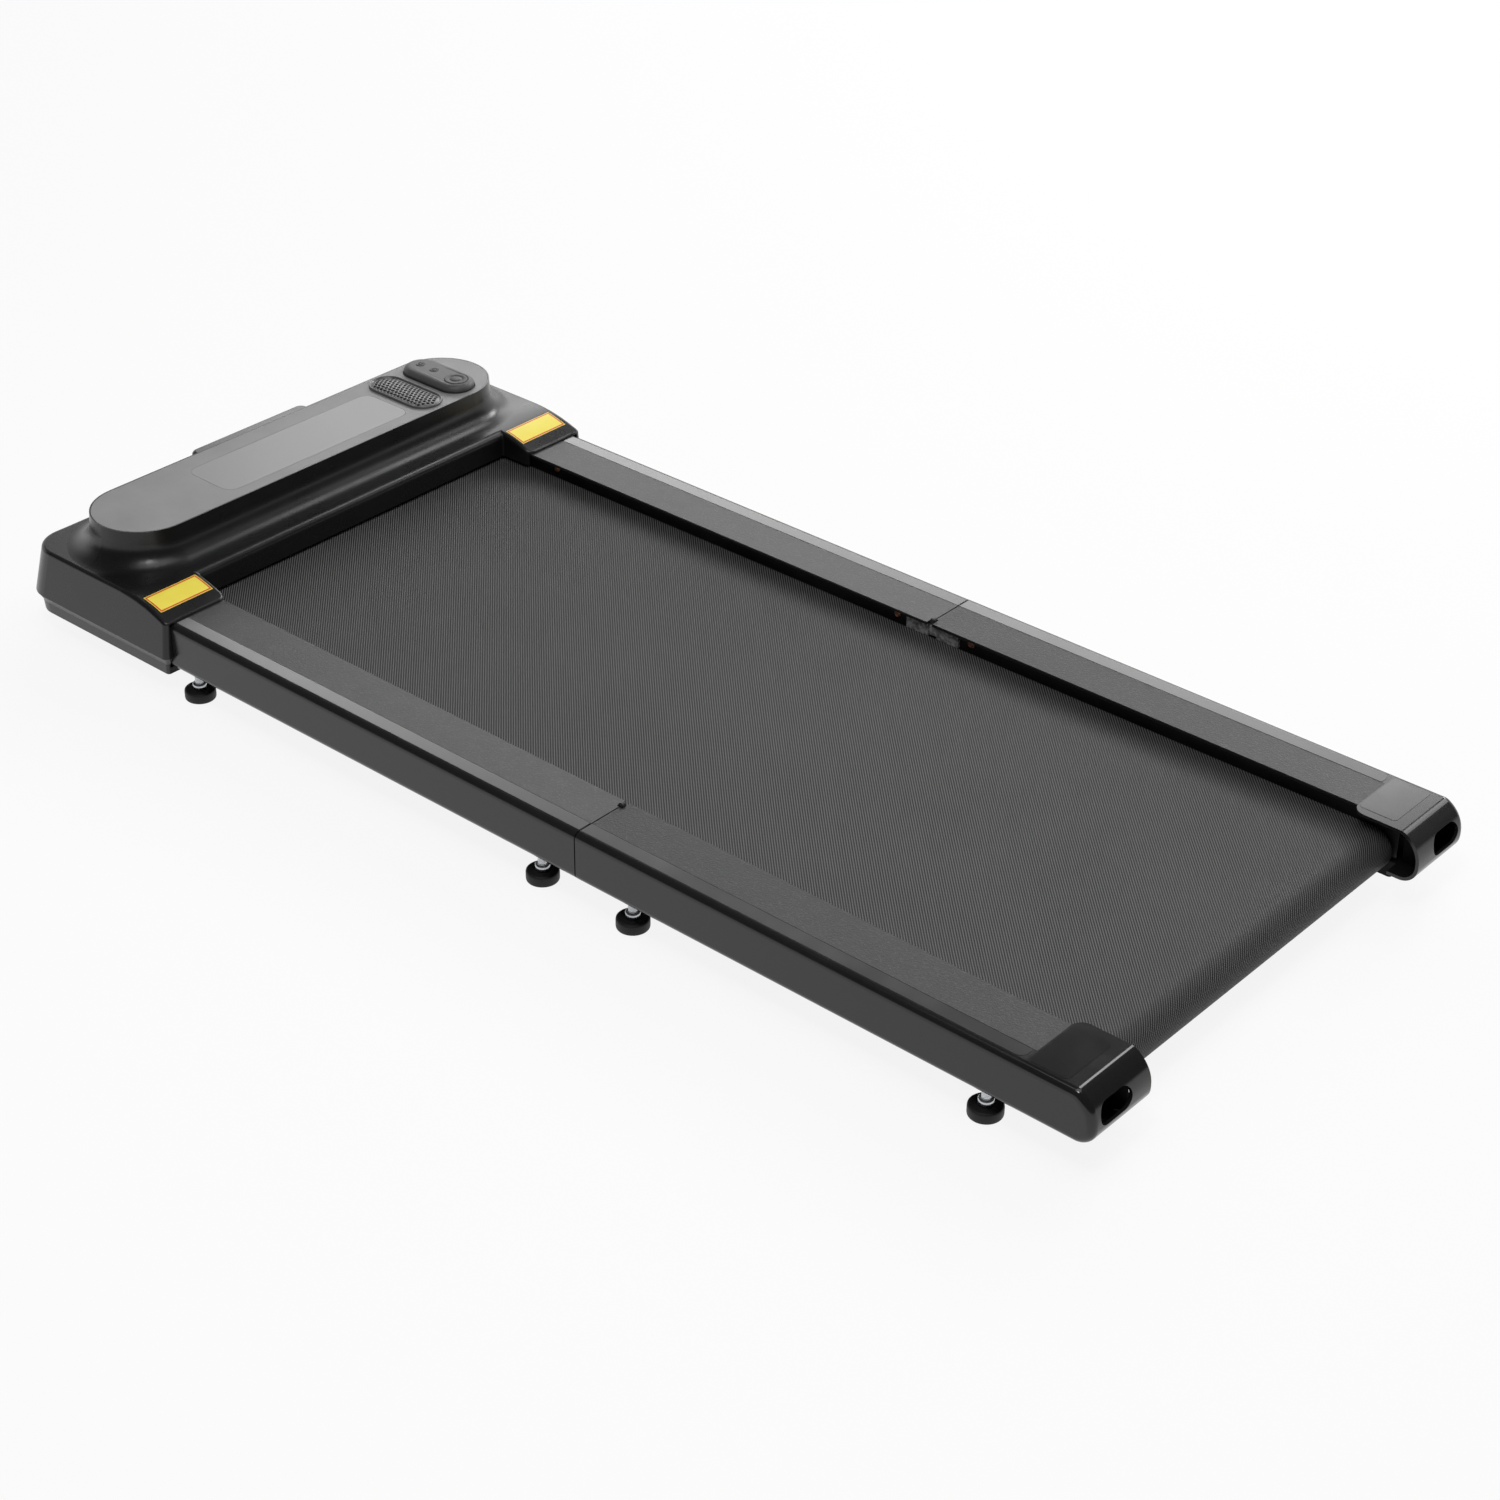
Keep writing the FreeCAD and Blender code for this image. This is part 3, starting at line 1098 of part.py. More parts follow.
def power_rocker():
    rocker = round_y(ENTRY_X, ENTRY_Z, ROCKER_R, rocker_y(), rocker_y() + ROCKER_WIDTH)
    tip = ROCKER_R * 0.65
    high = ROCKER_R * 0.76
    far = 2 * ROCKER_R
    gap = [(tip * 0.45, 0), (tip, high), (far, high), (far, -high), (tip, -high)]
    corners = [(ENTRY_X + u, ENTRY_Z + v, 0) for u, v in gap]
    rocker = rocker.cut(prism_y(corners, rocker_y() - 1, rocker_y() + ROCKER_WIDTH + 1))
    rocker.rotate(V(ENTRY_X, 0, ENTRY_Z), V(0, 1, 0), -ROCKER_TILT)
    return rocker


# Transport wheels under the hood's front edge
def transport_wheel():
    half = WHEEL_WIDTH / 2
    bore = WHEEL_AXLE_R + RUN_PLAY
    disc = half - WHEEL_RECESS
    inner = WHEEL_R - WHEEL_TYRE
    profile = [(bore, -half), (WHEEL_R, -half), (WHEEL_R, half), (inner, half), (inner, disc), (bore, disc)]
    return turned(profile, lambda r, h: V(WHEEL_X + r, WHEEL_Y + h, WHEEL_Z), V(0, 1, 0))


def wheel_axle():
    half = WHEEL_WIDTH / 2 + WHEEL_PLAY + PAN_WALL
    return round_y(WHEEL_X, WHEEL_Z, WHEEL_AXLE_R, WHEEL_Y - half, WHEEL_Y + half)


# All pieces by name
def assembly():
    front_edge = SEAM_X + SEAM_GAP / 2
    rear_edge = SEAM_X - SEAM_GAP / 2
    pieces = {
        "front_rail_left": front_rail(),
        "front_crossmembers": crossmembers(1),
        "front_chassis_tray": chassis_tray(),
        "front_deck_board": deck_board(1),
        "front_deck_cushions": deck_cushions(1),
        "front_side_cover_left": front_cover(),
        "front_grip_strips": both_sides(grip_strip(front_edge, COVER_FRONT_X)),
        "front_hinge_leaves": Part.makeCompound([both_sides(hinge_leaf(1)), both_sides(hinge_pin())]),
        "walking_belt": walking_belt(),
        "front_roller": roller_tube(FRONT_ROLLER_X),
        "front_roller_axle": front_axle(),
        "front_roller_bearings": bearings(FRONT_ROLLER_X),
        "front_roller_pulley": pulley(FRONT_ROLLER_X, ROLLER_Z, ROLLER_PULLEY_R, AXLE_R + RUN_PLAY, PULLEY_Y),
        "motor_housing": motor_housing(),
        "motor_bracket": motor_bracket(),
        "motor_rotor": motor_rotor(),
        "motor_pulley": pulley(MOTOR_X, MOTOR_Z, MOTOR_PULLEY_R, SHAFT_R, PULLEY_Y),
        "drive_belt": drive_belt(),
        "motor_controller": motor_controller(),
        "hood": hood(),
        "bottom_pan": bottom_pan(),
        "console_panel": console_panel(),
        "display_window": display_window(),
        "display_board": display_board(),
        "speaker_grille": speaker_grille(),
        "speaker_driver": speaker_driver(),
        "remote_base": remote_base(),
        "remote_top": remote_top(),
        "power_entry_module": power_entry_module(),
        "power_rocker": power_rocker(),
        "transport_wheel_left": transport_wheel(),
        "transport_wheel_axles": both_sides(wheel_axle()),
        "rear_rail_left": rear_rail(),
        "rear_crossmembers": crossmembers(-1),
        "rear_deck_board": deck_board(-1),
        "rear_deck_cushions": deck_cushions(-1),
        "rear_side_cover_left": rear_cover(),
        "rear_grip_strips": both_sides(grip_strip(CAP_X, rear_edge)),
        "rear_hinge_leaves": both_sides(hinge_leaf(-1)),
        "rear_roller": roller_tube(REAR_ROLLER_X),
        "rear_roller_bearings": bearings(REAR_ROLLER_X),
        "rear_axle_and_blocks": rear_axle_and_blocks(),
        "tension_bolt_left": tension_bolt(),
    }
    for name in button_places():
        pieces[name] = remote_button(name)
    for place, spots in (("front", FRONT_FEET_X), ("rear", REAR_FEET_X)):
        for end, x in zip(("outer", "inner") if place == "front" else ("inner", "outer"), spots):
            pieces[f"{place}_foot_{end}_left"] = foot(x, FOOT_Y)
    for name in [n for n in pieces if n.endswith("_left")]:
        pieces[name[:-4] + "right"] = mirrored(pieces[name])
    return pieces


os.makedirs("parts", exist_ok=True)
for name, shape in assembly().items():
    shape.exportStep("parts/" + name + ".step")
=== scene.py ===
import math

import bmesh
import bpy
from mathutils import Matrix, Vector


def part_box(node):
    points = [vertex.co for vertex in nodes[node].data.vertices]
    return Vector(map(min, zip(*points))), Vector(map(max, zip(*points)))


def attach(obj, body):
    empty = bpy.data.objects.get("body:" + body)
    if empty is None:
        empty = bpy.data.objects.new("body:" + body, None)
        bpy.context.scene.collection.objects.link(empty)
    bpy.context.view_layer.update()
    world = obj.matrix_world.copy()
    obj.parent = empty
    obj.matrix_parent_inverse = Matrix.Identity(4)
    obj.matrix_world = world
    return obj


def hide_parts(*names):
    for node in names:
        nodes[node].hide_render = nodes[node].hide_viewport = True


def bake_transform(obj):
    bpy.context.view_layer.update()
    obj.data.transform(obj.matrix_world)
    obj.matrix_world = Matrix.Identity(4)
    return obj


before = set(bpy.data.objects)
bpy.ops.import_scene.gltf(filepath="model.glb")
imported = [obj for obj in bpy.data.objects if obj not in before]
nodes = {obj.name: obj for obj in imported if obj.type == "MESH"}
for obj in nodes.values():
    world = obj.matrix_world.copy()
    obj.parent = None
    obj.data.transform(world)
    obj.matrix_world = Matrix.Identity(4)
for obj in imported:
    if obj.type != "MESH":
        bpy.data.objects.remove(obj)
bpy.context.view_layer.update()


# --- Steel frame: rail tubes, cross tubes and front tray ---------------------------------------
# Square steel tube and bent sheet, welded and then powder coated black.
# The coat is a little rough, with a fine orange-peel texture and dust in its hollows.

class Wire:
    """A shader socket; sums and products of wires add Math nodes."""

    def __init__(self, graph, socket):
        self.graph = graph
        self.socket = socket

    def call(self, operation, *others):
        return self.graph.math(operation, self, *others)

    def __add__(self, other):
        return self.call("ADD", other)

    def __sub__(self, other):
        return self.call("SUBTRACT", other)

    def __rsub__(self, other):
        return self.graph.math("SUBTRACT", other, self)

    def __mul__(self, other):
        return self.call("MULTIPLY", other)

    __radd__ = __add__
    __rmul__ = __mul__

    def between(self, low, high):
        """0 at low, 1 at high, smooth on the way."""
        return self.graph.node("MapRange", {"interpolation_type": "SMOOTHSTEP"}, {0: self, 1: low, 2: high})


class Graph:
    """A node tree; node() adds any node to it."""

    def __init__(self, tree):
        self.tree = tree

    def plug(self, socket, value):
        if isinstance(value, Wire):
            self.tree.links.new(value.socket, socket)
        else:
            socket.default_value = value

    def node(self, kind, settings=None, sockets=None, out=0):
        made = self.tree.nodes.new("ShaderNode" + kind)
        for name, value in (settings or {}).items():
            if name == "stops":
                while len(made.color_ramp.elements) < len(value):
                    made.color_ramp.elements.new(1.0)
                for stop, (place, level) in zip(made.color_ramp.elements, value):
                    stop.position = place
                    stop.color = grey(level)
            else:
                setattr(made, name, value)
        for name, value in (sockets or {}).items():
            self.plug(made.inputs[name], value)
        return Wire(self, made.outputs[out]) if made.outputs else None

    def math(self, operation, *values):
        return self.node("Math", {"operation": operation}, dict(enumerate(values)))

    def mix(self, share, first, second):
        return self.node("Mix", {"data_type": "RGBA"}, {0: share, 6: first, 7: second}, out=2)

    def axis(self, vector, letter):
        return self.node("SeparateXYZ", None, {"Vector": vector}, out=letter)

    def stretched(self, vector, factors):
        return self.node("VectorMath", {"operation": "MULTIPLY"}, {0: vector, 1: factors})

    def noise(self, place, scale, detail=2.0, roughness=0.5):
        return self.node("TexNoise", None, {"Vector": place, "Scale": scale, "Detail": detail,
                                            "Roughness": roughness})


class Finish(Graph):
    """A Principled material; place is the piece's own frame in metres."""

    def __init__(self, name, **constants):
        self.material = bpy.data.materials.new(name)
        self.material.use_nodes = True
        super().__init__(self.material.node_tree)
        self.shader = self.tree.nodes["Principled BSDF"]
        self.place = self.node("TexCoord", out="Object")
        self.set(**constants)

    def set(self, **values):
        for socket, value in values.items():
            self.plug(self.shader.inputs[socket.replace("_", " ")], value)

    def along(self, letter):
        return self.axis(self.place, letter)

    def bump(self, height, distance, strength):
        sockets = {"Height": height, "Distance": distance, "Strength": strength}
        self.set(Normal=self.node("Bump", None, sockets))


def grey(level, warm=0.0):
    return (level * (1 + warm), level, level * (1 - warm), 1.0)


def dress(finish, *names):
    for name in names:
        mesh = nodes[name].data
        mesh.materials.clear()
        mesh.materials.append(finish.material)


def powder_coat(name, level, roughness):
    coat = Finish(name)
    peel = coat.noise(coat.place, scale=900.0, detail=3.0)
    dust = coat.noise(coat.place, scale=14.0, detail=4.0, roughness=0.6).between(0.45, 0.8)
    coat.set(Base_Color=coat.mix(dust * 0.5, grey(level), grey(level * 1.9, warm=0.03)),
             Roughness=roughness + dust * 0.15 + peel * 0.06)
    coat.bump(peel, distance=0.00012, strength=0.5)
    return coat


frame_coat = powder_coat("frame_powder_coat", level=0.012, roughness=0.38)
dress(frame_coat, "front_rail_left", "front_rail_right", "rear_rail_left", "rear_rail_right",
      "front_crossmembers", "rear_crossmembers", "front_chassis_tray")


# --- Deck boards and their rubber cushions ----------------------------------------------------
# Pressed wood-fibre boards with a dark phenolic film, screwed down over soft rubber buffers.
# The film is smooth and slightly waxy; the cut edges show the brown fibre.

FILM_EDGE_Z = (0.0574, 0.0579)
FIBRE_BROWNS = ((0.10, 0.065, 0.035, 1), (0.19, 0.13, 0.075, 1))
deck_film = Finish("deck_board_film")
fibre = deck_film.noise(deck_film.stretched(deck_film.place, (40.0, 900.0, 900.0)), scale=1.0, detail=4.0)
film = deck_film.along("Z").between(*FILM_EDGE_Z)
deck_film.set(Base_Color=deck_film.mix(film, deck_film.mix(fibre, *FIBRE_BROWNS),
                                       deck_film.mix(fibre, grey(0.012), grey(0.022))),
              Roughness=0.62 - film * 0.3 + fibre * 0.1)
deck_film.bump(fibre, distance=0.0002, strength=0.4)
dress(deck_film, "front_deck_board", "rear_deck_board")


def moulded_rubber(name, level, roughness):
    rubber = Finish(name, Specular_IOR_Level=0.35)
    bloom = rubber.noise(rubber.place, scale=60.0, detail=5.0, roughness=0.6)
    grain = rubber.noise(rubber.place, scale=1600.0)
    rubber.set(Base_Color=rubber.mix(bloom.between(0.5, 0.85) * 0.6, grey(level), grey(level * 2.2)),
               Roughness=roughness + bloom * 0.12)
    rubber.bump(grain, distance=0.0001, strength=0.5)
    return rubber


def new_piece(name, mesh, *finishes):
    data = bpy.data.meshes.new(name)
    mesh.to_mesh(data)
    mesh.free()
    for finish in finishes:
        data.materials.append(finish.material)
    piece = bpy.data.objects.new(name, data)
    bpy.context.scene.collection.objects.link(piece)
    return piece


def skin(mesh, rings, material=0, smooth=False, capped=False):
    """Faces from ring to ring; a ring of one vertex closes to a point."""
    for low, high in zip(rings, rings[1:]):
        steps = max(len(low), len(high))
        for i in range(steps):
            j = (i + 1) % steps
            if len(low) == 1:
                corners = (low[0], high[j], high[i])
            elif len(high) == 1:
                corners = (low[i], low[j], high[0])
            else:
                corners = (low[i], low[j], high[j], high[i])
            face = mesh.faces.new(corners)
            face.smooth = smooth
            face.material_index = material
    if capped:
        mesh.faces.new(rings[0][::-1])
        mesh.faces.new(rings[-1])


CORNER_STEPS = 8
SHARP_R = 0.0001


def plate(mesh, xs, ys, radii, levels):
    """A rounded block from (inset, height) levels, with its own radius at each corner."""
    rings = []
    for inset, height in levels:
        x0, x1, y0, y1 = xs[0] + inset, xs[1] - inset, ys[0] + inset, ys[1] - inset
        corners = ((x0, y0, 0, 1, 1, 0), (x1, y0, -1, 0, 0, 1),
                   (x1, y1, 0, -1, -1, 0), (x0, y1, 1, 0, 0, -1))
        ring = []
        for (cx, cy, ux, uy, vx, vy), radius in zip(corners, radii):
            r = max(radius - inset, SHARP_R)
            for k in range(CORNER_STEPS + 1):
                a = math.pi / 2 * k / CORNER_STEPS
                along, aside = 1 - math.sin(a), 1 - math.cos(a)
                ring.append(mesh.verts.new((cx + (ux * along + vx * aside) * r,
                                            cy + (uy * along + vy * aside) * r, height)))
        rings.append(ring)
    skin(mesh, rings, capped=True)


CUSHION_X = {"front": (-0.065, 0.1635, 0.392), "rear": (-0.135, -0.309, -0.483)}
CUSHION_HALF_X = 0.012
CUSHION_Y = (0.106, 0.166)
CUSHION_CORNER = 0.003
CUSHION_LEVELS = ((0.0010, 0.0400), (0.0003, 0.0405), (0.0, 0.0415), (0.0003, 0.0425), (0.0010, 0.0430))
black_rubber = moulded_rubber("black_rubber", level=0.010, roughness=0.62)
for half, places in CUSHION_X.items():
    mesh = bmesh.new()
    for x in places:
        for side in (1, -1):
            plate(mesh, (x - CUSHION_HALF_X, x + CUSHION_HALF_X), sorted(y * side for y in CUSHION_Y),
                  (CUSHION_CORNER,) * 4, CUSHION_LEVELS)
    buffers = new_piece(half + "_deck_buffers", mesh, black_rubber)
    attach(buffers, half + "_half")
    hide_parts(half + "_deck_cushions")


# --- Rollers, axles, bearings and tension bolts -----------------------------------------------
# Turned steel tubes on ball bearings; the axles lie in the rails and the rear one is pulled
# straight by two zinc-plated socket screws behind the slots of the end caps.

def tool_marks(steel, roughness, stretch):
    marks = steel.noise(steel.stretched(steel.place, stretch), scale=1.0, detail=3.0)
    steel.set(Roughness=roughness + marks * 0.16)
    steel.bump(marks, distance=0.00005, strength=0.35)


def turned_steel(name, colour, roughness, stretch):
    steel = Finish(name, Metallic=1.0)
    tool_marks(steel, roughness, stretch)
    film = steel.noise(steel.place, scale=35.0, detail=3.0).between(0.35, 0.75)
    dulled = [part * 0.72 for part in colour]
    steel.set(Base_Color=steel.mix(film, (*colour, 1), (*dulled, 1)))
    return steel


roller_steel = turned_steel("turned_roller_steel", (0.42, 0.43, 0.44), roughness=0.24,
                            stretch=(60.0, 1400.0, 60.0))
zinc = turned_steel("zinc_plate", (0.60, 0.62, 0.64), roughness=0.22, stretch=(700.0, 90.0, 700.0))
cast_grey = turned_steel("cast_aluminium", (0.36, 0.37, 0.38), roughness=0.42, stretch=(500.0, 500.0, 500.0))
dress(roller_steel, "front_roller", "rear_roller", "front_roller_axle", "rear_axle_and_blocks",
      "front_roller_bearings", "rear_roller_bearings", "transport_wheel_axles", "motor_rotor")
dress(zinc, "tension_bolt_left", "tension_bolt_right", "motor_bracket")
dress(cast_grey, "front_roller_pulley", "motor_pulley", "motor_controller")


# --- Drive under the hood ---------------------------------------------------------------------
# A brushed motor with a dark enamelled case sits in its saddle on the tray and turns the roller
# by a flat rubber belt; the speaker's basket and the display's circuit board hang under the
# console. All of it is closed in by the hood.

motor_enamel = powder_coat("motor_enamel", level=0.02, roughness=0.3)
dress(motor_enamel, "motor_housing")
dress(black_rubber, "drive_belt")

speaker_cone = Finish("speaker_basket")
ridges = speaker_cone.noise(speaker_cone.place, scale=420.0, detail=3.0)
speaker_cone.set(Base_Color=speaker_cone.mix(ridges, grey(0.008), grey(0.02)), Roughness=0.6 + ridges * 0.2)
speaker_cone.bump(ridges, distance=0.0002, strength=0.4)
dress(speaker_cone, "speaker_driver")

BOARD_GREENS = ((0.012, 0.07, 0.04, 1), (0.03, 0.13, 0.07, 1))
circuit_board = Finish("circuit_board")
tracks = circuit_board.node("TexBrick", {"offset": 0.3}, {"Vector": circuit_board.place, "Scale": 180.0},
                            out="Fac")
circuit_board.set(Base_Color=circuit_board.mix(tracks, *BOARD_GREENS), Roughness=0.3 + tracks * 0.2)
dress(circuit_board, "display_board")


# --- Walking belt -----------------------------------------------------------------------------
# A closed loop of woven polyester with a dark grey PVC face, pressed with a fine diamond rib.
# It runs over both rollers; its points stand closer together at the seam, where the pad folds.

BELT_HALF = 0.206
BELT_T = 0.0018
WRAP_R = 0.020
WRAP_STEPS = 18
ROLLER_Z = 0.040
FRONT_ROLLER_X = 0.480
REAR_ROLLER_X = -0.571
SEAM_X = -0.100
FOLD_STEP, FOLD_STEPS = 0.004, 14
RUN_STEP, RUN_STEPS = 0.05, 20


def run_stations(x0, x1):
    """Places along a straight run, close together where the belt has to bend."""
    places = {x0, x1}
    places.update(SEAM_X + step * FOLD_STEP for step in range(-FOLD_STEPS, FOLD_STEPS + 1))
    places.update(REAR_ROLLER_X + step * RUN_STEP for step in range(1, RUN_STEPS + 1))
    return sorted((x for x in places if min(x0, x1) <= x <= max(x0, x1)), reverse=x1 < x0)


def wrap_line(roller_x, start):
    """Half a turn round a roller as (x, z, nx, nz), with the outward normal."""
    turns = [start + math.pi * i / WRAP_STEPS for i in range(1, WRAP_STEPS)]
    return [(roller_x + WRAP_R * math.cos(a), ROLLER_Z + WRAP_R * math.sin(a), math.cos(a), math.sin(a))
            for a in turns]


def belt_line():
    """Points once round the loop: top run, rear roller, bottom run, front roller."""
    top = [(x, ROLLER_Z + WRAP_R, 0.0, 1.0) for x in run_stations(FRONT_ROLLER_X, REAR_ROLLER_X)]
    bottom = [(x, ROLLER_Z - WRAP_R, 0.0, -1.0) for x in run_stations(REAR_ROLLER_X, FRONT_ROLLER_X)]
    return top + wrap_line(REAR_ROLLER_X, math.pi / 2) + bottom + wrap_line(FRONT_ROLLER_X, -math.pi / 2)


def belt_mesh():
    """The loop with its ribbed face as material 0, back and edges as material 1."""
    mesh = bmesh.new()
    lay = mesh.loops.layers.uv.new("belt_run")
    line = belt_line()
    rings = []
    for x, z, nx, nz in line:
        back_x, back_z = x - nx * BELT_T, z - nz * BELT_T
        corners = ((x, BELT_HALF, z), (x, -BELT_HALF, z),
                   (back_x, -BELT_HALF, back_z), (back_x, BELT_HALF, back_z))
        rings.append([mesh.verts.new(corner) for corner in corners])
    travel = [0.0]
    for (xa, za, _, _), (xb, zb, _, _) in zip(line, line[1:] + line[:1]):
        travel.append(travel[-1] + math.hypot(xb - xa, zb - za))
    for i, ring in enumerate(rings):
        after = rings[(i + 1) % len(rings)]
        for k in range(4):
            face = mesh.faces.new((ring[k], after[k], after[(k + 1) % 4], ring[(k + 1) % 4]))
            face.smooth = k in (0, 2)
            face.material_index = min(k, 1)
            for loop, step in zip(face.loops, (0, 1, 1, 0)):
                loop[lay].uv = (FRONT_ROLLER_X - travel[i + step], loop.vert.co.y)
    for edge in mesh.edges:
        edge.smooth = edge.verts[0].co.y * edge.verts[1].co.y < 0
    mesh.normal_update()
    return mesh


RIB_PITCH, NOTCH_DEPTH = 0.00214, 0.30
RIB_TURN = 2 * math.pi / RIB_PITCH * math.sqrt(0.5)
belt_face = Finish("belt_face", Specular_IOR_Level=0.25)
run = belt_face.axis(belt_face.node("TexCoord", out="UV"), "X")
across = belt_face.axis(belt_face.node("TexCoord", out="UV"), "Y")
rib = ((run + across) * RIB_TURN).call("COSINE") * 0.5 + 0.5
notch = ((run - across) * RIB_TURN).call("COSINE") * 0.5 + 0.5
diamond = rib * rib * (1 - NOTCH_DEPTH + notch * NOTCH_DEPTH)
scuff = belt_face.noise(belt_face.place, scale=9.0, detail=5.0, roughness=0.6)
# The grooves between the ribs are painted near black: painted shade in the pressing's hollows; the ribs carry
# the PVC's grey.
belt_face.set(Base_Color=belt_face.mix(diamond, grey(0.005), belt_face.mix(scuff, grey(0.155), grey(0.182))),
              Roughness=0.52 + scuff * 0.12)
belt_face.bump(diamond, distance=0.0005, strength=0.8)

WEAVE_TURN = 4200.0
belt_back = Finish("belt_woven_back", Specular_IOR_Level=0.3)
warp = (belt_back.along("X") * WEAVE_TURN).call("SINE") * 0.5 + 0.5
weft = (belt_back.along("Y") * WEAVE_TURN).call("SINE") * 0.5 + 0.5
weave = warp * (1 - weft) + weft * (1 - warp)
belt_back.set(Base_Color=belt_back.mix(weave, grey(0.018), grey(0.034)), Roughness=0.75 - weave * 0.1)
belt_back.bump(weave, distance=0.0002, strength=0.5)

walking_belt = new_piece("walking_belt_loop", belt_mesh(), belt_face, belt_back)
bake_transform(walking_belt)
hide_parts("walking_belt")


# --- Side covers with end caps ----------------------------------------------------------------
# Long moulded covers clipped over the rail tubes, satin black with rounded edges; the rear pair
# close into hollow end caps, polished a little more, whose slots lead to the tension bolts.

def moulded_black(name, level, roughness, peel_depth, shine=0.5, polished_behind=None):
    """Smooth black plastic; behind the given span of X it is polished."""
    plastic = Finish(name, Specular_IOR_Level=shine)
    peel = plastic.noise(plastic.place, scale=260.0)
    cloud = plastic.noise(plastic.place, scale=18.0, detail=4.0, roughness=0.6)
    haze = roughness + cloud.between(0.4, 0.8) * 0.06
    if polished_behind:
        haze = haze - (1 - plastic.along("X").between(*polished_behind)) * 0.06
    plastic.set(Base_Color=plastic.mix(cloud, grey(level), grey(level * 1.35)), Roughness=haze)
    plastic.bump(peel, distance=peel_depth, strength=0.35)
    return plastic


CAP_START_X = (-0.5575, -0.5535)
cover_black = moulded_black("cover_satin_black", level=0.010, roughness=0.20, peel_depth=0.000008, shine=0.46,
                            polished_behind=CAP_START_X)
dress(cover_black, "front_side_cover_left", "front_side_cover_right",
      "rear_side_cover_left", "rear_side_cover_right")


# --- Edge bands and cap film plates -----------------------------------------------------------
# Thin plastic bands beside the grip strips and a plain film plate on each end cap, all stuck on.
# The front bands are painted paler towards the hood: a painted reflection.

RAIL_TOP = 0.076
FILM_CHAMFER = 0.0001
BAND_T, CAP_FILM_T = 0.00022, 0.00025
BAND_Y = (0.2468, 0.2600)
FRONT_BAND_X, FRONT_BAND_CORNERS = (-0.0990, 0.4105), (0, 0, 0, 0)
REAR_BAND_X, REAR_BAND_CORNERS = (-0.5520, -0.1010), (0.002, 0, 0, 0.007)
CAP_FILM_X, CAP_FILM_Y, CAP_FILM_CORNERS = (-0.5925, -0.5565), (0.2015, 0.2595), (0.004, 0.004, 0.004, 0.004)
PAINTED_SHEEN_X = (-0.10, 0.42)

band_rear = moulded_black("band_satin_rear", level=0.040, roughness=0.17, peel_depth=0.000006, shine=0.44)
band_front = Finish("band_satin_front", Specular_IOR_Level=0.4)
# Paler towards the hood along X: a painted reflection of the studio light.
painted_sheen = band_front.along("X").between(*PAINTED_SHEEN_X)
haze = band_front.noise(band_front.place, scale=30.0, detail=4.0, roughness=0.6)
band_front.set(Base_Color=band_front.mix(painted_sheen, grey(0.045), grey(0.125)), Roughness=0.17 + haze * 0.08)
cap_film = moulded_black("cap_film_gloss", level=0.008, roughness=0.12, peel_depth=0.000006)


def stuck_pair(name, body, finish, xs, ys, corners, thick):
    """A thin plate on the left rail's top and its mirror image on the right."""
    mesh = bmesh.new()
    top = RAIL_TOP + thick
    levels = ((0.0, RAIL_TOP), (0.0, top - FILM_CHAMFER), (FILM_CHAMFER, top))
    plate(mesh, xs, ys, corners, levels)
    plate(mesh, xs, (-ys[1], -ys[0]), corners[::-1], levels)
    piece = new_piece(name, mesh, finish)
    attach(piece, body)


stuck_pair("edge_bands_front", "front_half", band_front, FRONT_BAND_X, BAND_Y, FRONT_BAND_CORNERS, BAND_T)
stuck_pair("edge_bands_rear", "rear_half", band_rear, REAR_BAND_X, BAND_Y, REAR_BAND_CORNERS, BAND_T)
stuck_pair("cap_film_plates", "rear_half", cap_film, CAP_FILM_X, CAP_FILM_Y, CAP_FILM_CORNERS, CAP_FILM_T)


# --- Webs and belt guards inside the end caps -------------------------------------------------
# A dull moulded web closes the end of each rail inside its cap, and a small guard hangs beside
# the belt's edge. Both are ribs of the cap moulding; their near-black matte colour, darker than the covers,
# is painted shade of the hollow cap.

WEB_OUTLINE = ((-0.5955, 0.0322), (-0.6060, 0.0322), (-0.6135, 0.0350), (-0.6185, 0.0420), (-0.6198, 0.0490),
               (-0.6175, 0.0590), (-0.6120, 0.0670), (-0.6045, 0.0725), (-0.5955, 0.0728))
WEB_Y = (0.2165, 0.2180)
GUARD_X, GUARD_Z, GUARD_R = (-0.5945, -0.5480), (0.0160, 0.0318), 0.006
GUARD_Y = (0.2080, 0.2105)
GUARD_CORNER_STEPS = 6


def guard_outline():
    """Square at the top, rounded at both lower corners."""
    outline = []
    for x, start in ((GUARD_X[0] + GUARD_R, math.pi), (GUARD_X[1] - GUARD_R, math.pi * 1.5)):
        for k in range(GUARD_CORNER_STEPS + 1):
            a = start + math.pi / 2 * k / GUARD_CORNER_STEPS
            outline.append((x + GUARD_R * math.cos(a), GUARD_Z[0] + GUARD_R + GUARD_R * math.sin(a)))
    return outline + [(GUARD_X[1], GUARD_Z[1]), (GUARD_X[0], GUARD_Z[1])]


# Near black and matte: painted shade inside the cap, on a real web and guard.
inner_painted_shade = moulded_rubber("cap_inner_dull", level=0.004, roughness=0.8)
mesh = bmesh.new()
for side in (1, -1):
    for outline, ys in ((WEB_OUTLINE, WEB_Y), (guard_outline(), GUARD_Y)):
        skin(mesh, [[mesh.verts.new((x, y * side, z)) for x, z in outline] for y in ys], capped=True)
bmesh.ops.recalc_face_normals(mesh, faces=mesh.faces)
cap_webs = new_piece("cap_inner_webs", mesh, inner_painted_shade)
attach(cap_webs, "rear_half")


# --- Grip strips ------------------------------------------------------------------------------
# Thin rubber-backed strips let into the rail tops, coated with sand-like grain for standing.
# The rear ones are coarser; the front ones are worn smoother by stepping on and off.

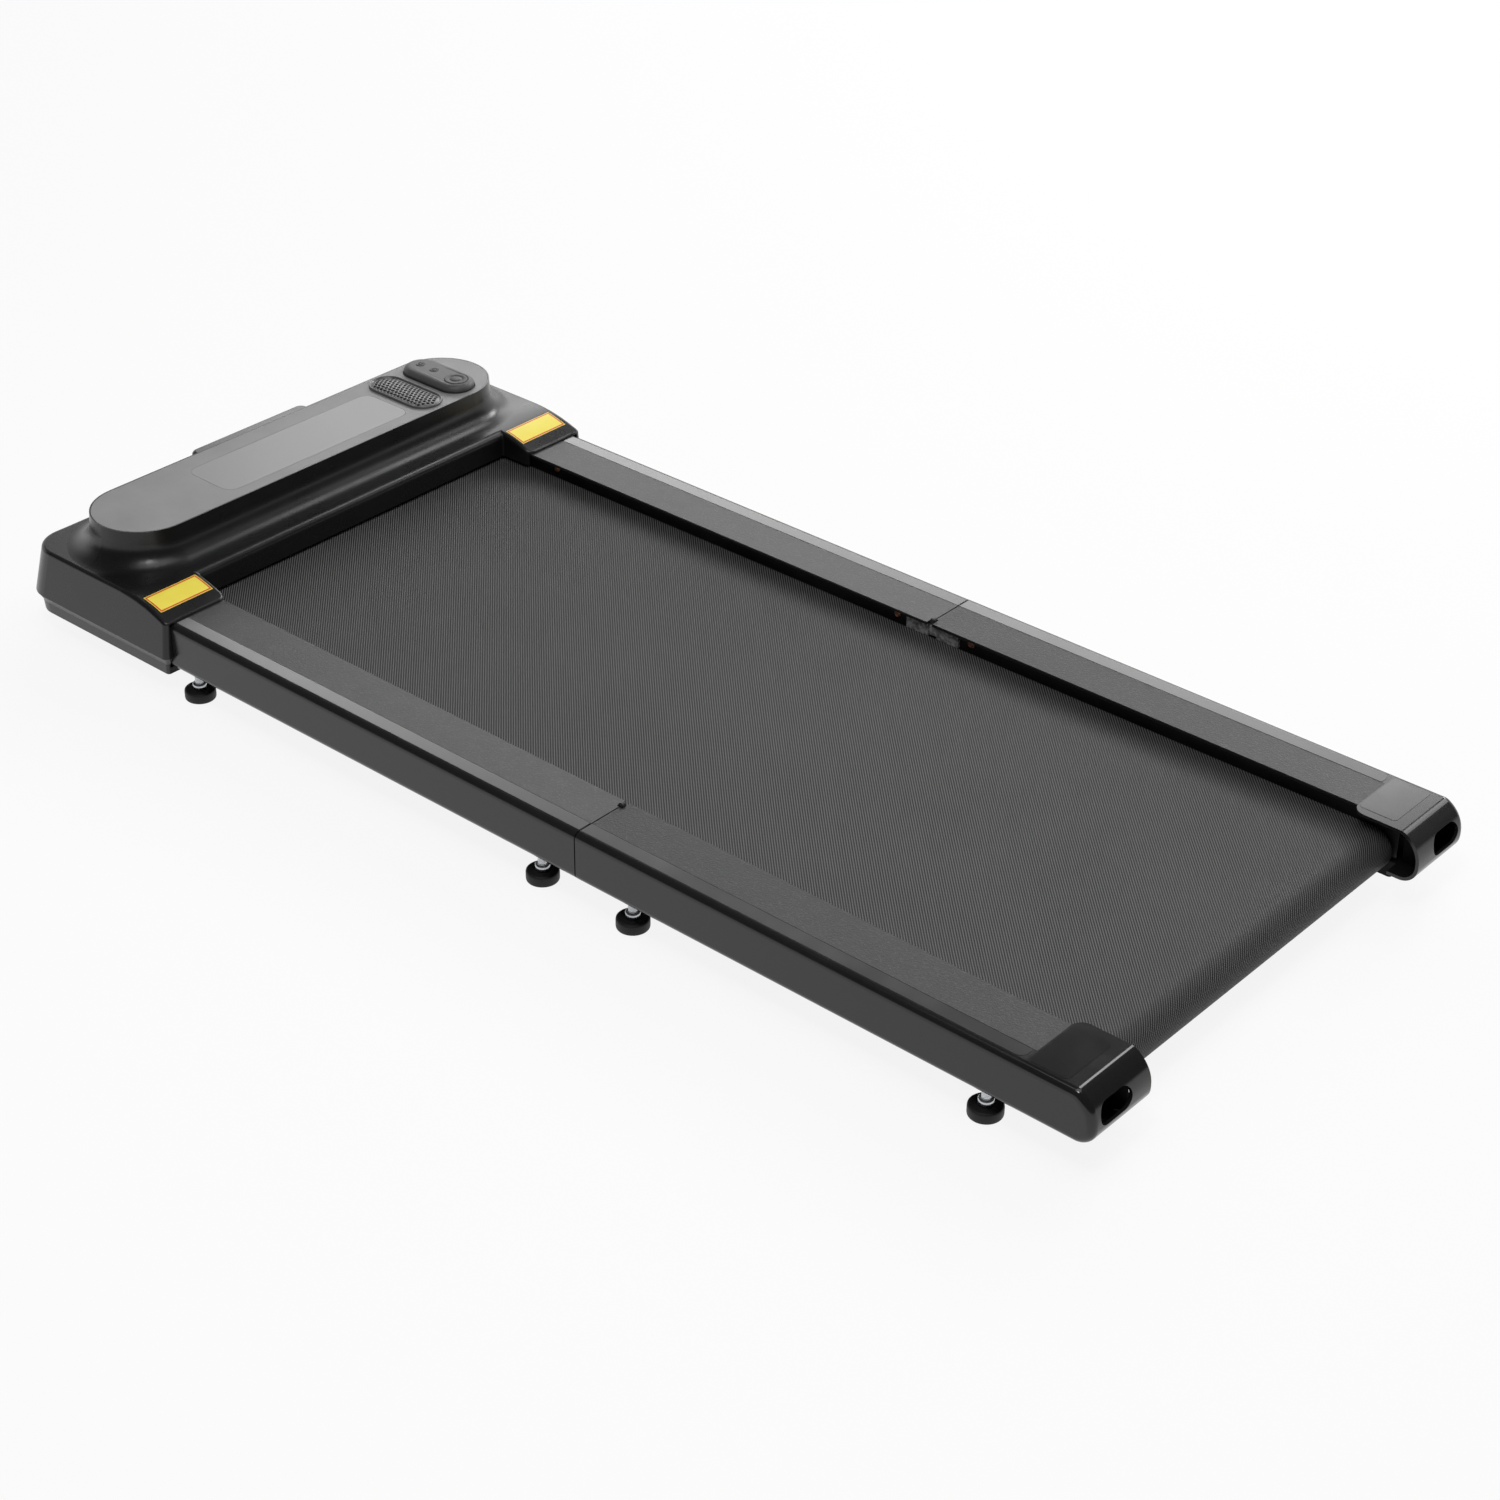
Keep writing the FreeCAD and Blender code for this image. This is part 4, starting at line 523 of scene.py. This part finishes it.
def sanded(name, level, contrast, depth):
    grip = Finish(name, Specular_IOR_Level=0.4)
    sand = grip.noise(grip.place, scale=560.0, detail=3.0, roughness=0.7)
    patch = grip.noise(grip.place, scale=22.0, detail=4.0, roughness=0.6)
    fleck = sand.between(0.52, 0.74)
    worn = grip.mix(patch.between(0.35, 0.7), grey(level * 0.85), grey(level * 1.15))
    grip.set(Base_Color=grip.mix(fleck * contrast, worn, grey(level * 4.0)),
             Roughness=0.40 - fleck * 0.1 + patch * 0.1)
    grip.bump(sand, distance=depth, strength=0.7)
    return grip


rear_grip = sanded("grip_sand_rear", level=0.0135, contrast=0.55, depth=0.0005)
front_grip = sanded("grip_sand_front", level=0.046, contrast=0.16, depth=0.0003)
dress(rear_grip, "rear_grip_strips")
dress(front_grip, "front_grip_strips")


# --- Fold hinges ------------------------------------------------------------------------------
# Zinc-plated steel leaves on the inner rail faces turn on pins at the seam. The plating is
# spangled and half dulled; the knuckles on top are painted black.

PAINT_EDGE_Z = (0.0715, 0.0720)
hinge_zinc = Finish("hinge_zinc")
tool_marks(hinge_zinc, roughness=0.34, stretch=(260.0, 260.0, 260.0))
painted = hinge_zinc.along("Z").between(*PAINT_EDGE_Z)
spangle = hinge_zinc.noise(hinge_zinc.place, scale=300.0, detail=3.0).between(0.3, 0.7)
plating = hinge_zinc.mix(spangle, grey(0.22), grey(0.62))
hinge_zinc.set(Base_Color=hinge_zinc.mix(painted, plating, grey(0.045)), Metallic=(1 - painted) * 0.35)
dress(hinge_zinc, "front_hinge_leaves", "rear_hinge_leaves")


# --- Rail screws ------------------------------------------------------------------------------
# Copper-coloured pan-head screws on the inner rail faces, beside the hinges and the hood's ears.
# They hold the rails' inner brackets.

SCREW_HEAD = ((0, 0.0), (0.0037, 0.0), (0.0034, 0.0010), (0.0024, 0.0019), (0.0013, 0.0022), (0.0008, 0.0012),
              (0, 0.0024))
SCREW_X = {"front": (0.384, -0.057), "rear": (-0.143,)}
SCREW_Z = 0.0665
RAIL_INNER_Y = 0.211


def lathe(mesh, profile, steps, place, material=0):
    """Turns (radius, height) pairs about place's Z axis; a radius of 0 is a point on the axis."""
    rings = []
    for radius, height in profile:
        turns = [2 * math.pi * i / steps for i in range(steps if radius else 1)]
        rings.append([mesh.verts.new(place @ Vector((radius * math.cos(a), radius * math.sin(a), height)))
                      for a in turns])
    skin(mesh, rings, material, smooth=True)


copper = turned_steel("copper_screw", (0.60, 0.27, 0.17), roughness=0.3, stretch=(900.0, 900.0, 900.0))
for half, places in SCREW_X.items():
    mesh = bmesh.new()
    for x in places:
        for side in (1, -1):
            turn = Matrix.Rotation(math.radians(90 * side), 4, "X")
            place = Matrix.Translation((x, RAIL_INNER_Y * side, SCREW_Z)) @ turn
            lathe(mesh, SCREW_HEAD, steps=20, place=place)
    screws = new_piece("rail_screws_" + half, mesh, copper)
    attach(screws, half + "_half")


# --- Levelling feet ---------------------------------------------------------------------------
# Eight moulded rubber pads on zinc-plated studs; each stud screws into the rail's underside and
# is held by a lock nut.

PAD_R, PAD_TOP = 0.0145, 0.0106
PAD_PROFILE = ((0, 0), (0.0118, 0), (0.0128, 0.0004), (0.0138, 0.0006), (0.0143, 0.0013), (PAD_R, 0.0024),
               (PAD_R, 0.0082), (0.0142, 0.0096), (0.0135, 0.0103), (0.0124, PAD_TOP), (0, PAD_TOP))
COLLAR_R, COLLAR_TOP = 0.0065, 0.0161
COLLAR_PROFILE = ((0, PAD_TOP), (0.0060, PAD_TOP), (COLLAR_R, PAD_TOP + 0.0004),
                  (COLLAR_R, COLLAR_TOP - 0.0006), (0.0059, COLLAR_TOP))
STUD_R, STUD_TOP, STUD_CHAMFER = 0.004, 0.0340, 0.0005
THREAD_PITCH, THREAD_DEPTH = 0.00125, 0.0005
NUT_LOW, NUT_HIGH, NUT_CHAMFER = 0.0254, 0.0319, 0.0012
NUT_ACROSS, NUT_FACE_R, NUT_BORE_R = 0.013, 0.006305, 0.0045


def stud_profile():
    profile = [*COLLAR_PROFILE, (STUD_R, COLLAR_TOP)]
    for i in range(int((NUT_LOW - COLLAR_TOP) / THREAD_PITCH)):
        z = COLLAR_TOP + i * THREAD_PITCH
        profile += [(STUD_R, z + 0.2 * THREAD_PITCH), (STUD_R - THREAD_DEPTH, z + 0.6 * THREAD_PITCH),
                    (STUD_R, z + THREAD_PITCH)]
    return profile + [(STUD_R, STUD_TOP - STUD_CHAMFER), (0.0034, STUD_TOP), (0, STUD_TOP)]


def nut(mesh, place, material):
    corner = NUT_ACROSS / math.sqrt(3)
    levels = ((NUT_BORE_R, NUT_LOW), (NUT_FACE_R, NUT_LOW), (corner, NUT_LOW + NUT_CHAMFER),
              (corner, NUT_HIGH - NUT_CHAMFER), (NUT_FACE_R, NUT_HIGH), (NUT_BORE_R, NUT_HIGH))
    turns = [math.pi / 3 * i for i in range(6)]
    rings = [[mesh.verts.new(place @ Vector((radius * math.cos(a), radius * math.sin(a), z))) for a in turns]
             for radius, z in levels]
    skin(mesh, rings + rings[:1], material)


foot_rubber = moulded_rubber("foot_rubber", level=0.007, roughness=0.5)
for half in ("front", "rear"):
    for end in ("outer", "inner"):
        for side in ("left", "right"):
            foot = f"{half}_foot_{end}_{side}"
            low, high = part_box(foot)
            place = Matrix.Translation(((low.x + high.x) / 2, (low.y + high.y) / 2, 0))
            mesh = bmesh.new()
            lathe(mesh, PAD_PROFILE, steps=40, place=place)
            lathe(mesh, stud_profile(), steps=20, place=place, material=1)
            nut(mesh, place, material=1)
            piece = new_piece("levelling_" + foot, mesh, foot_rubber, zinc)
            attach(piece, foot)
            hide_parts(foot)


# --- Bottom pan and transport wheels ----------------------------------------------------------
# The hood's lower moulding in finely grained black plastic, with two hard wheels in wells under
# its front edge for rolling the folded pad away.

def grained_plastic(name, level, roughness, scale=1300.0, depth=0.00015, shine=0.5):
    plastic = Finish(name, Specular_IOR_Level=shine)
    grain = plastic.node("TexVoronoi", None, {"Vector": plastic.place, "Scale": scale}, out="Distance")
    cloud = plastic.noise(plastic.place, scale=25.0, detail=3.0)
    plastic.set(Base_Color=plastic.mix(cloud, grey(level), grey(level * 1.4)),
                Roughness=roughness + grain * 0.12)
    plastic.bump(grain, distance=depth, strength=0.5)
    return plastic


pan_grain = grained_plastic("pan_grained_black", level=0.016, roughness=0.3)
wheel_grain = grained_plastic("wheel_hard_plastic", level=0.022, roughness=0.42)
dress(pan_grain, "bottom_pan")
dress(wheel_grain, "transport_wheel_left", "transport_wheel_right")


# --- Hood and its ear patches -----------------------------------------------------------------
# One glossy black injection-moulded shell with two ears over the rails; each ear carries a plain
# yellow adhesive patch with an orange edge line.

hood_gloss = moulded_black("hood_gloss_black", level=0.007, roughness=0.27, peel_depth=0.000003, shine=0.43)
dress(hood_gloss, "hood")

SHOULDER_Z, EAR_R, EAR_FLAT_X = 0.091, 0.16404, 0.475
PATCH_X = (0.425, 0.4495)
PATCH_Y = (0.204, 0.265)
PATCH_T = 0.00018
PATCH_STEPS = 8
PATCH_MM = (25.5, 61.0)
LINE_START_MM, LINE_END_MM = (0.5, 0.8), (2.1, 2.5)
PATCH_YELLOWS = ((0.98, 0.78, 0.07, 1), (1.0, 0.88, 0.12, 1))
PATCH_ORANGE = (0.72, 0.09, 0.02, 1)


def ear_roof(x):
    return SHOULDER_Z - EAR_R + math.sqrt(EAR_R ** 2 - (EAR_FLAT_X - x) ** 2)


def ear_patch(side):
    """A thin film that follows the ear's roof, with its own run from edge to edge for the line."""
    mesh = bmesh.new()
    lay = mesh.loops.layers.uv.new("patch")
    rows = []
    for i in range(PATCH_STEPS + 1):
        x = PATCH_X[0] + (PATCH_X[1] - PATCH_X[0]) * i / PATCH_STEPS
        rows.append([mesh.verts.new((x, y * side, ear_roof(x) + lift))
                     for y in PATCH_Y for lift in (0.0, PATCH_T)])
    for i, (low, high) in enumerate(zip(rows, rows[1:])):
        for a, b in ((1, 3), (3, 2), (2, 0), (0, 1)):
            face = mesh.faces.new((low[a], low[b], high[b], high[a]))
            for loop, (u, v) in zip(face.loops, ((i, a), (i, b), (i + 1, b), (i + 1, a))):
                loop[lay].uv = (u / PATCH_STEPS, v // 2)
    for row in (rows[0], rows[-1]):
        mesh.faces.new((row[0], row[1], row[3], row[2]))
    bmesh.ops.recalc_face_normals(mesh, faces=mesh.faces)
    return mesh


patch_film = Finish("ear_patch_film")
on_patch = patch_film.node("TexCoord", out="UV")
from_edge = (0.5 - (patch_film.axis(on_patch, "X") - 0.5).call("ABSOLUTE")) * PATCH_MM[0]
from_end = (0.5 - (patch_film.axis(on_patch, "Y") - 0.5).call("ABSOLUTE")) * PATCH_MM[1]
inset = from_edge.call("MINIMUM", from_end)
edge_line = inset.between(*LINE_START_MM) * (1 - inset.between(*LINE_END_MM))
faded = patch_film.noise(patch_film.place, scale=70.0, detail=3.0)
patch_film.set(Base_Color=patch_film.mix(edge_line, patch_film.mix(faded, *PATCH_YELLOWS), PATCH_ORANGE),
               Roughness=0.32 + faded * 0.12)
for side, word in ((1, "left"), (-1, "right")):
    patch = new_piece("ear_patch_" + word, ear_patch(side), patch_film)
    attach(patch, "front_half")


# --- Console panel and display window ---------------------------------------------------------
# A flat grey panel, moulded with a fine satin grain and clipped flush into the hood's pod.
# A smoked silver plastic lens is bonded into it over the display.

panel_grey = grained_plastic("panel_satin_grey", level=0.20, roughness=0.36, scale=1500.0, depth=0.0001,
                             shine=0.28)
dress(panel_grey, "console_panel")
window_lens = Finish("window_lens", Specular_IOR_Level=0.28)
smoke = window_lens.noise(window_lens.place, scale=12.0, detail=3.0)
window_lens.set(Base_Color=window_lens.mix(smoke, grey(0.205), grey(0.225)), Roughness=0.28 + smoke * 0.06)
dress(window_lens, "display_window")


# --- Speaker grille ---------------------------------------------------------------------------
# A thin domed pressing with staggered round holes, painted dark satin grey.
# It is snapped into a narrow raised ring that stands on the panel.

GRILLE_X, GRILLE_Y = 0.53255, -0.145
GRILLE_HALF_L, GRILLE_HALF_W = 0.0455, 0.0195
STRAIGHT = GRILLE_HALF_L - GRILLE_HALF_W
PANEL_Z = 0.126
RING_W = 0.0030
RING_LEVELS = ((0.0, 0.0), (0.0, 0.0014), (0.0004, 0.0022), (0.0011, 0.0025), (0.0018, 0.0022),
               (RING_W, 0.0006))
PRESSING_R = GRILLE_HALF_W - RING_W + 0.0003
PRESSING_Z = PANEL_Z + 0.0006
DOME_R, DOME_RISE, DOME_CURVE = GRILLE_HALF_W - RING_W + 0.001, 0.0024, 2.2
HOLE_PITCH, HOLE_R, HOLE_LAND = 0.0049, 0.00155, 0.0006
HOLE_LEVELS = ((HOLE_R * 1.12, 0.0), (HOLE_R, 0.0002), (HOLE_R, 0.0009))
HOLE_ROWS, HOLE_COLUMNS = 5, 12
WELD_GAP = 1e-5


def pill_ring(mesh, x, y, half_l, half_w, z, steps=16):
    """Vertices round a pill outline, long side along X."""
    ring = []
    for end in (1, -1):
        for i in range(steps + 1):
            a = -math.pi / 2 + math.pi * i / steps
            ring.append(mesh.verts.new((x + end * (half_l - half_w + half_w * math.cos(a)),
                                        y + end * half_w * math.sin(a), z)))
    return ring


def from_middle(x, y):
    """Distance from the grille's long middle line."""
    return math.hypot(max(abs(x) - STRAIGHT, 0), y)


def dome(x, y):
    """Height of the pressing."""
    share = min(from_middle(x, y) / DOME_R, 1.0)
    return PRESSING_Z + DOME_RISE * (1 - share ** DOME_CURVE)


def on_pressing(x, y):
    """Draws a point back to the pressing's rim where it lies outside."""
    over = from_middle(x, y)
    if over > PRESSING_R:
        nearest = math.copysign(min(abs(x), STRAIGHT), x)
        x, y = nearest + (x - nearest) * PRESSING_R / over, y * PRESSING_R / over
    return x, y


def hole_cell(mesh, cx, cy):
    """One six-sided cell of the pressing, with a hole where there is room for it."""
    turns = [(math.cos(a), math.sin(a)) for a in (math.pi / 6 * (i + 1) for i in range(12))]
    reach = (HOLE_PITCH / math.sqrt(3), HOLE_PITCH / 2)
    outline = [(cx + reach[i % 2] * c, cy + reach[i % 2] * s) for i, (c, s) in enumerate(turns)]
    if all(from_middle(x, y) >= PRESSING_R - WELD_GAP for x, y in outline):
        return
    outline = [on_pressing(x, y) for x, y in outline]
    rims = [[mesh.verts.new((GRILLE_X + x, GRILLE_Y + y, dome(x, y))) for x, y in outline]]
    if from_middle(cx, cy) < PRESSING_R - HOLE_R - HOLE_LAND:
        for radius, sink in HOLE_LEVELS:
            round_rim = [(cx + radius * c, cy + radius * s) for c, s in turns]
            rims.append([mesh.verts.new((GRILLE_X + x, GRILLE_Y + y, dome(x, y) - sink))
                         for x, y in round_rim])
        skin(mesh, rims, smooth=True)
    else:
        mesh.faces.new(rims[0]).smooth = True


mesh = bmesh.new()
skin(mesh, [pill_ring(mesh, GRILLE_X, GRILLE_Y, GRILLE_HALF_L - inset, GRILLE_HALF_W - inset, PANEL_Z + rise)
            for inset, rise in RING_LEVELS], smooth=True)
for row in range(-HOLE_ROWS, HOLE_ROWS + 1):
    for column in range(-HOLE_COLUMNS, HOLE_COLUMNS + 1):
        hole_cell(mesh, (column + 0.5 * (row % 2)) * HOLE_PITCH, row * HOLE_PITCH * math.sqrt(3) / 2)
bmesh.ops.remove_doubles(mesh, verts=mesh.verts, dist=WELD_GAP)
bmesh.ops.dissolve_degenerate(mesh, edges=mesh.edges, dist=1e-6)
grille_coat = moulded_black("grille_dark_satin", level=0.080, roughness=0.30, peel_depth=0.00003)
grille = new_piece("speaker_grille_dome", mesh, grille_coat)
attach(grille, "front_half")
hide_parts("speaker_grille")


# --- Remote control ---------------------------------------------------------------------------
# A soft-touch key-fob remote in its dock: two half shells with a parting line, one large and two
# small rubber buttons. It lifts straight out.

REMOTE_X, REMOTE_Y = 0.53255, -0.192
REMOTE_HALF_L, REMOTE_HALF_W = 0.0435, 0.0195
REMOTE_LEVELS = ((0.0006, 0.1200), (0.0, 0.1206), (0.0, 0.1256), (0.0004, 0.1258), (0.0004, 0.1262),
                 (0.0, 0.1264), (0.0, 0.1288), (0.0005, 0.1302), (0.0016, 0.1317), (0.0032, 0.1328),
                 (0.0052, 0.1333), (0.0080, 0.1335))
BUTTONS = {"remote_start_button": (0.5075, 0.0120), "remote_slower_button": (0.5395, 0.0045),
           "remote_faster_button": (0.5595, 0.0045)}
BUTTON_LOW, BUTTON_CROWN = 0.1311, 0.1340
WELL_FLOOR, WELL_DEPTH, WELL_PLAY = 0.1296, 0.01, 0.0004

mesh = bmesh.new()
skin(mesh, [pill_ring(mesh, REMOTE_X, REMOTE_Y, REMOTE_HALF_L - inset, REMOTE_HALF_W - inset, z)
            for inset, z in REMOTE_LEVELS], smooth=True, capped=True)
soft_touch = grained_plastic("remote_soft_touch", level=0.066, roughness=0.42, scale=1800.0, depth=0.00008)
remote = new_piece("remote_shell", mesh, soft_touch)

# Round wells for the buttons are sunk into the shell.
mesh = bmesh.new()
for x, radius in BUTTONS.values():
    bore = radius + WELL_PLAY
    lathe(mesh, ((0, 0), (bore, 0), (bore, WELL_DEPTH), (0, WELL_DEPTH)), steps=36,
          place=Matrix.Translation((x, REMOTE_Y, WELL_FLOOR)))
well_cutter = new_piece("well_cutter", mesh)
wells = remote.modifiers.new("wells", "BOOLEAN")
wells.object = well_cutter
wells.solver = "EXACT"
carved = bpy.data.meshes.new_from_object(remote.evaluated_get(bpy.context.evaluated_depsgraph_get()))
remote.modifiers.clear()
remote.data = carved
bpy.data.objects.remove(well_cutter)
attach(remote, "remote")
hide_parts("remote_base", "remote_top")

button_rubber = grained_plastic("button_rubber", level=0.050, roughness=0.46, scale=2200.0, depth=0.00008)
for name, (x, radius) in BUTTONS.items():
    mesh = bmesh.new()
    profile = ((0, BUTTON_LOW), (radius, BUTTON_LOW), (radius, BUTTON_CROWN - 0.0007),
               (radius - 0.0003, BUTTON_CROWN - 0.0002), (radius - 0.0009, BUTTON_CROWN),
               (radius * 0.62, BUTTON_CROWN - 0.0001), (radius * 0.58, BUTTON_CROWN - 0.0005),
               (radius * 0.50, BUTTON_CROWN - 0.0005), (radius * 0.46, BUTTON_CROWN - 0.0001),
               (0, BUTTON_CROWN - 0.0002))
    lathe(mesh, profile, steps=40, place=Matrix.Translation((x, REMOTE_Y, 0)))
    button = new_piece(name + "_cap", mesh, button_rubber)
    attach(button, name)
    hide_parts(name)


# --- Power inlet and switch -------------------------------------------------------------------
# A black inlet module in the front wall's recess with a glossy rocker; three brass blades stand
# in the socket.

inlet_black = grained_plastic("inlet_black", level=0.010, roughness=0.4)
rocker_gloss = moulded_black("rocker_gloss", level=0.012, roughness=0.14, peel_depth=0.00003)
dress(inlet_black, "power_entry_module")
dress(rocker_gloss, "power_rocker")

INLET_MIDDLE = Vector((0.600, -0.015, 0.066))
BLADE_PLACES = ((0, 0.0, 0.0035), (0, -0.007, -0.001), (0, 0.007, -0.001))
BLADE_SIZE = (0.012, 0.002, 0.004)
BLADE_EDGE = 0.0005
brass = turned_steel("brass_blade", (0.62, 0.46, 0.20), roughness=0.28, stretch=(300.0, 300.0, 300.0))
mesh = bmesh.new()
for place in BLADE_PLACES:
    made = bmesh.ops.create_cube(mesh, size=1.0)["verts"]
    bmesh.ops.scale(mesh, vec=BLADE_SIZE, verts=made)
    bmesh.ops.translate(mesh, vec=INLET_MIDDLE + Vector(place), verts=made)
bmesh.ops.bevel(mesh, geom=mesh.edges[:], offset=BLADE_EDGE, segments=2, affect="EDGES")
blades = new_piece("inlet_blades", mesh, brass)
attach(blades, "front_half")


# --- Studio: floor, light and camera ----------------------------------------------------------
# A plain white floor, a large soft box overhead and a bright horizon that fades to a dark
# ceiling, so that gloss black shows form; the camera stands behind the walker's left.

FLOOR_HALF = 40.0
FLOOR_SEEN_WHITE = 0.88
floor_paint = Finish("studio_floor")
floor_paint.tree.nodes.clear()
seen = floor_paint.node("LightPath", out="Is Camera Ray") * FLOOR_SEEN_WHITE
mirrored = (floor_paint.node("LightPath", out="Is Glossy Ray")
            + floor_paint.node("LightPath", out="Is Transmission Ray"))
matte = floor_paint.node("BsdfDiffuse", None, {"Color": grey(0.9)})
white = floor_paint.node("Emission", None, {"Color": grey(1.0), "Strength": 1.0})
share = (seen + mirrored).call("MINIMUM", 1.0)
floor_paint.node("OutputMaterial", None, {
    "Surface": floor_paint.node("MixShader", None, {0: share, 1: matte, 2: white})})
mesh = bmesh.new()
bmesh.ops.create_grid(mesh, x_segments=1, y_segments=1, size=FLOOR_HALF)
floor = new_piece("studio_floor", mesh, floor_paint)

AHEAD_X, AHEAD_Y = 0.652, -0.758
AHEAD_FADE, HORIZON_FADE = (0.08, 0.62), (0.0, 0.12)
CEILING_STOPS = ((0.0, 1.0), (0.32, 1.0), (0.42, 0.80), (0.53, 0.34), (0.64, 0.16), (0.85, 0.07))
world = bpy.data.worlds.new("studio_world")
bpy.context.scene.world = world
world.use_nodes = True
sky = Graph(world.node_tree)
sky.tree.nodes.clear()
direction = sky.node("TexCoord", out="Generated")
height = sky.axis(direction, "Z")
ahead = (sky.axis(direction, "X") * AHEAD_X + sky.axis(direction, "Y") * AHEAD_Y).between(*AHEAD_FADE)
ceiling = sky.node("ValToRGB", {"stops": CEILING_STOPS}, {"Fac": height})
room = sky.mix(ahead + (1 - height.between(*HORIZON_FADE)), grey(0.09), ceiling)
backdrop = sky.node("LightPath", out="Is Camera Ray") + sky.node("LightPath", out="Is Transmission Ray")
sky.node("OutputWorld", None, {
    "Surface": sky.node("Background", None, {"Color": sky.mix(backdrop, room, grey(1.0))})})


def soft_box(name, place, aim, size, power):
    lamp = bpy.data.lights.new(name, "AREA")
    lamp.shape = "RECTANGLE"
    lamp.size, lamp.size_y = size
    lamp.energy = power
    box = bpy.data.objects.new(name, lamp)
    box.location = place
    box.rotation_euler = (Vector(aim) - Vector(place)).to_track_quat("-Z", "Y").to_euler()
    bpy.context.scene.collection.objects.link(box)


soft_box("overhead_box", place=(-0.5, 0.3, 2.5), aim=(-0.2, 0, 0), size=(2.2, 1.4), power=20.0)
soft_box("left_end_box", place=(-0.75, 1.2, 2.6), aim=(0.53, 0.2, 0.1), size=(0.5, 0.5), power=14.0)
soft_box("right_box", place=(0.1, -1.9, 2.4), aim=(0.2, 0, 0.05), size=(0.9, 0.45), power=9.6)
soft_box("right_low_box", place=(-0.8, -2.3, 1.75), aim=(-0.5, -0.2, 0.05), size=(1.2, 0.6), power=9.0)
soft_box("right_end_box", place=(0.05, -2.9, 1.4), aim=(0.55, -0.24, 0.1), size=(0.6, 0.45), power=20.0)
soft_box("far_box", place=(2.1, -2.8, 1.8), aim=(0.2, -0.1, 0.05), size=(2.8, 1.1), power=38.0)

VIEW_PLACE = (-1.5467, 1.7294, 1.4468)
VIEW_RIGHT = Vector((-0.75348, -0.65737, 0.01118))
VIEW_UP = Vector((0.35658, -0.39430, 0.84698))
VIEW_FORWARD = Vector((0.55237, -0.64218, -0.53150))
camera = bpy.data.cameras.new("photo_camera")
camera.lens = 72.3
camera.sensor_width = 36.0
viewer = bpy.data.objects.new("photo_camera", camera)
bpy.context.scene.collection.objects.link(viewer)
turn = Matrix((VIEW_RIGHT, VIEW_UP, -VIEW_FORWARD)).transposed().to_4x4()
viewer.matrix_world = Matrix.Translation(VIEW_PLACE) @ turn
bpy.context.scene.camera = viewer
bpy.context.scene.view_settings.view_transform = "Standard"
